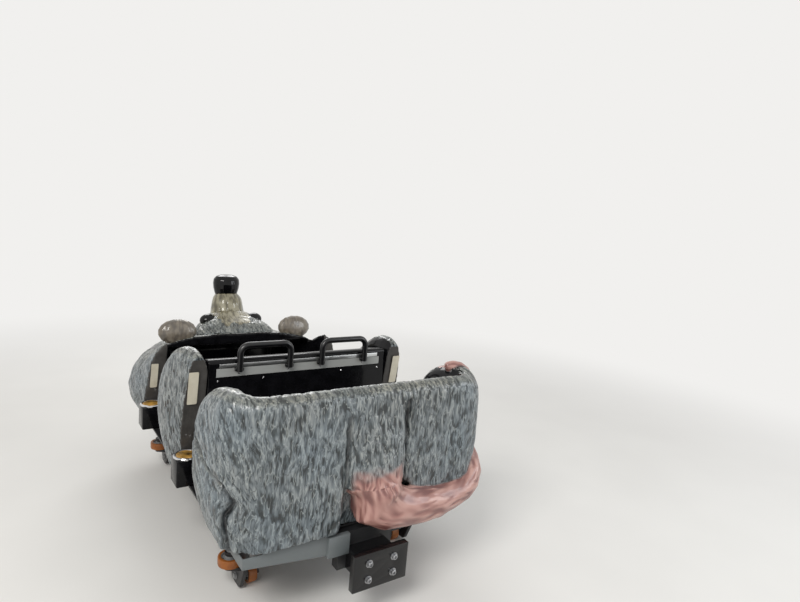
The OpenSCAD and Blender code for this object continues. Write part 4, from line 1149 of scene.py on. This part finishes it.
def blown_up(mesh, cap_mm):
    """The mesh after a cloth run with pressure, no point moved further than cap_mm."""
    start = points_of(mesh)
    holder = new_object("pad_cloth", mesh)
    cloth = holder.modifiers.new("Cloth", "CLOTH")
    cloth.settings.use_pressure = True
    cloth.settings.uniform_pressure_force = PAD_PRESSURE
    cloth.settings.effector_weights.gravity = 0
    cloth.point_cache.frame_start, cloth.point_cache.frame_end = 1, PAD_FRAMES
    for step in range(1, PAD_FRAMES + 1):
        bpy.context.scene.frame_set(step)
    done = bpy.data.meshes.new_from_object(holder.evaluated_get(bpy.context.evaluated_depsgraph_get()))
    bpy.data.objects.remove(holder)
    bpy.context.scene.frame_set(1)
    moved = points_of(done) - start
    length = np.linalg.norm(moved, axis=1)
    set_points(done, start + moved * np.minimum(1, cap_mm * MM / (length + 1e-9))[:, None])
    return done


def pad_mesh(name, width, length, thick, channels, cap_mm, shrink_mm=7):
    """A pad lying on z = 0, x across, y along, with sewn channels across it at the given shares."""
    bm = bmesh.new()
    s = shrink_mm * MM
    bmesh.ops.create_cube(bm, size=1.0, matrix=Matrix.Translation((0, 0, thick / 2 - s / 4))
                          @ Matrix.Diagonal((width - 2 * s, length - 2 * s, thick - s * 1.5, 1)))
    bevel(bm, bm.edges[:], min(0.016, thick * 0.3))
    mesh = remeshed(name, bm, PAD_VOXEL)
    mesh = blown_up(mesh, cap_mm)
    pairs, edge_count = links_of(mesh)
    points = smoothed(points_of(mesh), pairs[:edge_count], 6)
    points[:, 2] = np.maximum(points[:, 2], 0.0006)
    set_points(mesh, points)
    normals = normals_of(mesh)
    press = np.zeros(len(points))
    for share in channels:
        press += 6.5 * np.exp(-((points[:, 1] - (share - 0.5) * length) / 0.006) ** 2)
    press *= ease(normals[:, 2] * 2 - 0.2)
    rim = np.exp(-((points[:, 2] - thick * 0.70) / 0.0035) ** 2) * ease(1.4 - np.abs(normals[:, 2]) * 2)
    creases = 0.5 * blobs(points * (1, 2.2, 1), 0.05, 41) * ease(normals[:, 2] * 2)
    set_points(mesh, points - normals * ((press + 2.0 * rim + creases) * MM)[:, None])
    done = with_modifiers(name, mesh, ("SUBSURF", dict(levels=1, render_levels=1)))
    done.polygons.foreach_set("use_smooth", np.ones(len(done.polygons), bool))
    return done


def copies_at(name, mesh, matrices):
    """One mesh with the given mesh at each matrix."""
    bm = bmesh.new()
    for matrix in matrices:
        copy = mesh.copy()
        copy.transform(matrix)
        bm.from_mesh(copy)
        bpy.data.meshes.remove(copy)
    return mesh_from(name, bm)


def laid(x, low, run):
    """A matrix that lays a pad along run (y, z) from low (y, z), its top away from what it rests on."""
    run = Vector((0, *run)).normalized()
    out = Vector((1, 0, 0)).cross(run)
    return Matrix.Translation((x, *low)) @ Matrix(((1, 0, 0), run, out)).transposed().to_4x4()


PAD_X, PAD_W = 0.285, 0.430
SEAT_PAD_L, SEAT_PAD_T, BACK_PAD_T = 0.286, 0.080, 0.044
PAN_TOP, PAD_AHEAD = 0.6203, 0.187
# Row: face of the seat back at the seat, then the lower and upper end of the back pad's rest plane
ROWS = ((1, -0.180, (-0.1974, 0.7220), (-0.2608, 0.9836)),
        (2, -0.960, (-0.9634, 0.7239), (-0.9747, 0.9660)))


def pair_of_pads(name, mesh, low, run):
    """The left and the right pad as one piece, laid along run with their middles at low."""
    pads = new_object(name, copies_at(name, mesh, [laid(side * PAD_X, low, run) for side in (-1, 1)]), VINYL)
    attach(pads, "car")
    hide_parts("seat_cushions")
    print(name, [[round(v, 3) for v in pads.bound_box[corner]] for corner in (0, 6)])


seat_pad = pad_mesh("seat_pad", PAD_W, SEAT_PAD_L, SEAT_PAD_T, (0.34, 0.66), 12)
for row, face_y, low, high in ROWS:
    pair_of_pads(f"row_{row}_seat_pads", seat_pad, (face_y + PAD_AHEAD, PAN_TOP), (1, 0))
    low, high = Vector(low), Vector(high)
    back_pad = pad_mesh("back_pad", PAD_W, (high - low).length, BACK_PAD_T, (0.33, 0.66), 9, 5)
    pair_of_pads(f"row_{row}_back_pads", back_pad, (low + high) / 2, low - high)

# %% Lap pads
ROLL_D, ROLL_IN, ROLL_OUT = 0.090, 0.060, 0.440
# The rolls lie this far behind the pivots of their bars and this high
ROLL_BEHIND, ROLL_Z = 0.320, 0.880
BAR_PIVOTS = ((1, 0.410), (2, -0.370))


def roll_mesh(name):
    """A foam roll along Z from 0: moulded skin, tapered ends, a seam and slow dents."""
    bm = bmesh.new()
    r, length = ROLL_D / 2, ROLL_OUT - ROLL_IN
    rings = [(0.0174, 0.0), (r - 0.014, 0.0), (r - 0.008, 0.0015), (r - 0.003, 0.009), (r - 0.0008, 0.024)]
    rings += [(r, 0.024 + (length - 0.048) * i / 26) for i in range(1, 26)]
    rings += [(q, length - h) for q, h in reversed(rings[:5])]
    turned(bm, rings + [rings[0]], 60)
    mesh = mesh_from(name, bm)
    points = points_of(mesh)
    radius = np.hypot(points[:, 0], points[:, 1])
    angle = np.arctan2(points[:, 1], points[:, 0])
    inner = radius < 0.02
    belly = np.exp(-((points[:, 2] - length / 2) / 0.12) ** 2)
    seam = np.exp(-((angle + 1.2) / 0.05) ** 2)
    push = 0.6 * blobs(points, 0.09, 51) - 0.6 + belly - 0.9 - 1.4 * seam
    scale = 1 + np.where(inner, 0, push * MM / (radius + 1e-9))
    points[:, :2] *= scale[:, None]
    set_points(mesh, points)
    return mesh


roll = roll_mesh("lap_roll")
for row, pivot_y in BAR_PIVOTS:
    spots = [Matrix.Translation((x, pivot_y - ROLL_BEHIND, ROLL_Z)) @ Matrix.Rotation(math.pi / 2, 4, "Y")
             for x in (-ROLL_OUT, ROLL_IN)]
    pads = finished(f"row_{row}_lap_rolls", copies_at(f"row_{row}_lap_rolls", roll, spots), f"row_{row}_bar",
                    "pad_foam", FOAM, nodes=(f"lap_pads_{row}",))
print("pads made")

# %% [markdown]
# ## Small parts
#
# Bare label plates on the trimmed faces, screws on the seat back, the buffer's four socket
# screws, and the nuts of the wheel axles. Each group of equal fasteners is one mesh.

# %% Bare plates
def wing_back(z):
    """Where the wings' rear face lies at a height."""
    return -0.370 + 0.110 * max(0.0, (1.012 - z) / 0.6) ** 1.2


def cowl_back(z):
    """Where the cowl's rear face lies at a height."""
    return 0.490 + 0.110 * max(0.0, (0.915 - z) / 0.5) ** 1.2


PLATE_THICK, PLATE_PROUD = 0.003, 0.0035
# Inner and outer edge, lower and upper edge, and the face that the plate lies on
PLATES = ((0.606, 0.656, 0.816, 0.996, wing_back), (0.612, 0.655, 0.640, 0.806, cowl_back))


def plate(bm, x_low, x_high, z_low, z_high, face):
    """A thin plate with rounded corners that follows a leaning face."""
    made = bmesh.ops.create_grid(bm, x_segments=1, y_segments=10, size=0.5)["verts"]
    for v in made:
        z = z_low + (v.co.y + 0.5) * (z_high - z_low)
        v.co = Vector((x_low + (v.co.x + 0.5) * (x_high - x_low), face(z) - PLATE_PROUD, z))
    bevel(bm, [v for v in made if len(v.link_edges) == 2], 0.006, 4, "VERTICES")


bm = bmesh.new()
for side in (-1, 1):
    for x_in, x_out, *rest in PLATES:
        plate(bm, *sorted((side * x_in, side * x_out)), *rest)
bmesh.ops.recalc_face_normals(bm, faces=bm.faces)
for face in bm.faces:
    if face.normal.y > 0:
        face.normal_flip()
mesh = with_modifiers("label_plates_bare", mesh_from("label_plates_bare", bm),
                      ("SOLIDIFY", dict(thickness=PLATE_THICK, offset=-1.0)))
finished("label_plates_bare", mesh, "car", "muzzle_cream", PLATE)

# %% Screws and nuts
def rear_screws(name, screw, xs, y, zs, d_mm, slot, finish):
    """Equal screws that face the rear, one at each x and z, as one piece."""
    bm = bmesh.new()
    for x in xs:
        for z in zs:
            screw(bm, (x, y, z), (0, -1, 0), d_mm)
    finished(name, mesh_from(name, bm), "car", slot, finish)


LIFT = 0.0002
rear_screws("buffer_cap_screws", cap_screw, (-0.068, 0.068), -1.2905, (0.216, 0.296), 26, "fin_steel", ZINC)
rear_screws("seat_back_screws", dome_screw, (-0.50, -0.245, 0.245, 0.50), SEAT_FACE_Y - LIFT,
            (0.930, 0.780), 13, "trim_aluminium", CHROME)

# A band of sheet below the strip, with a screw beside each leg of the handles
BAND_HALF, BAND_LOW, BAND_HIGH, BAND_THICK = 0.510, 0.952, 0.999, 0.0012
bm = bmesh.new()
middle = (0, SEAT_FACE_Y - BAND_THICK / 2 - LIFT / 2, (BAND_LOW + BAND_HIGH) / 2)
bmesh.ops.create_cube(bm, size=1.0, matrix=Matrix.Translation(middle) @ Matrix.Diagonal(
    (2 * BAND_HALF, BAND_THICK, BAND_HIGH - BAND_LOW, 1)))
finished("seat_back_band", mesh_from("seat_back_band", bm), "car", "trim_aluminium", BAND_PAINT)
rear_screws("band_screws", dome_screw, LEG_XS, SEAT_FACE_Y - BAND_THICK - LIFT, (0.968,), 12,
            "trim_aluminium", CHROME)

AXLE_Y, PLATE_FACE, GUIDE_X = 0.760, 0.503, 0.535
bm = bmesh.new()
for side in (-1, 1):
    for y in (-AXLE_Y, AXLE_Y):
        hex_bolt(bm, (side * PLATE_FACE, y, 0.283), (side, 0, 0), 44)
        hex_bolt(bm, (side * PLATE_FACE, y, 0.050), (side, 0, 0), 30)
        hex_bolt(bm, (side * GUIDE_X, y, 0.194), (0, 0, 1), 30)
        for dy in (-0.085, 0.085):
            for z in (0.300, 0.350):
                hex_bolt(bm, (side * PLATE_FACE, y + dy, z), (side, 0, 0), 20)
finished("axle_nuts", mesh_from("axle_nuts", bm), "car", "fin_steel", HUB_CASTING)
print("small parts made")
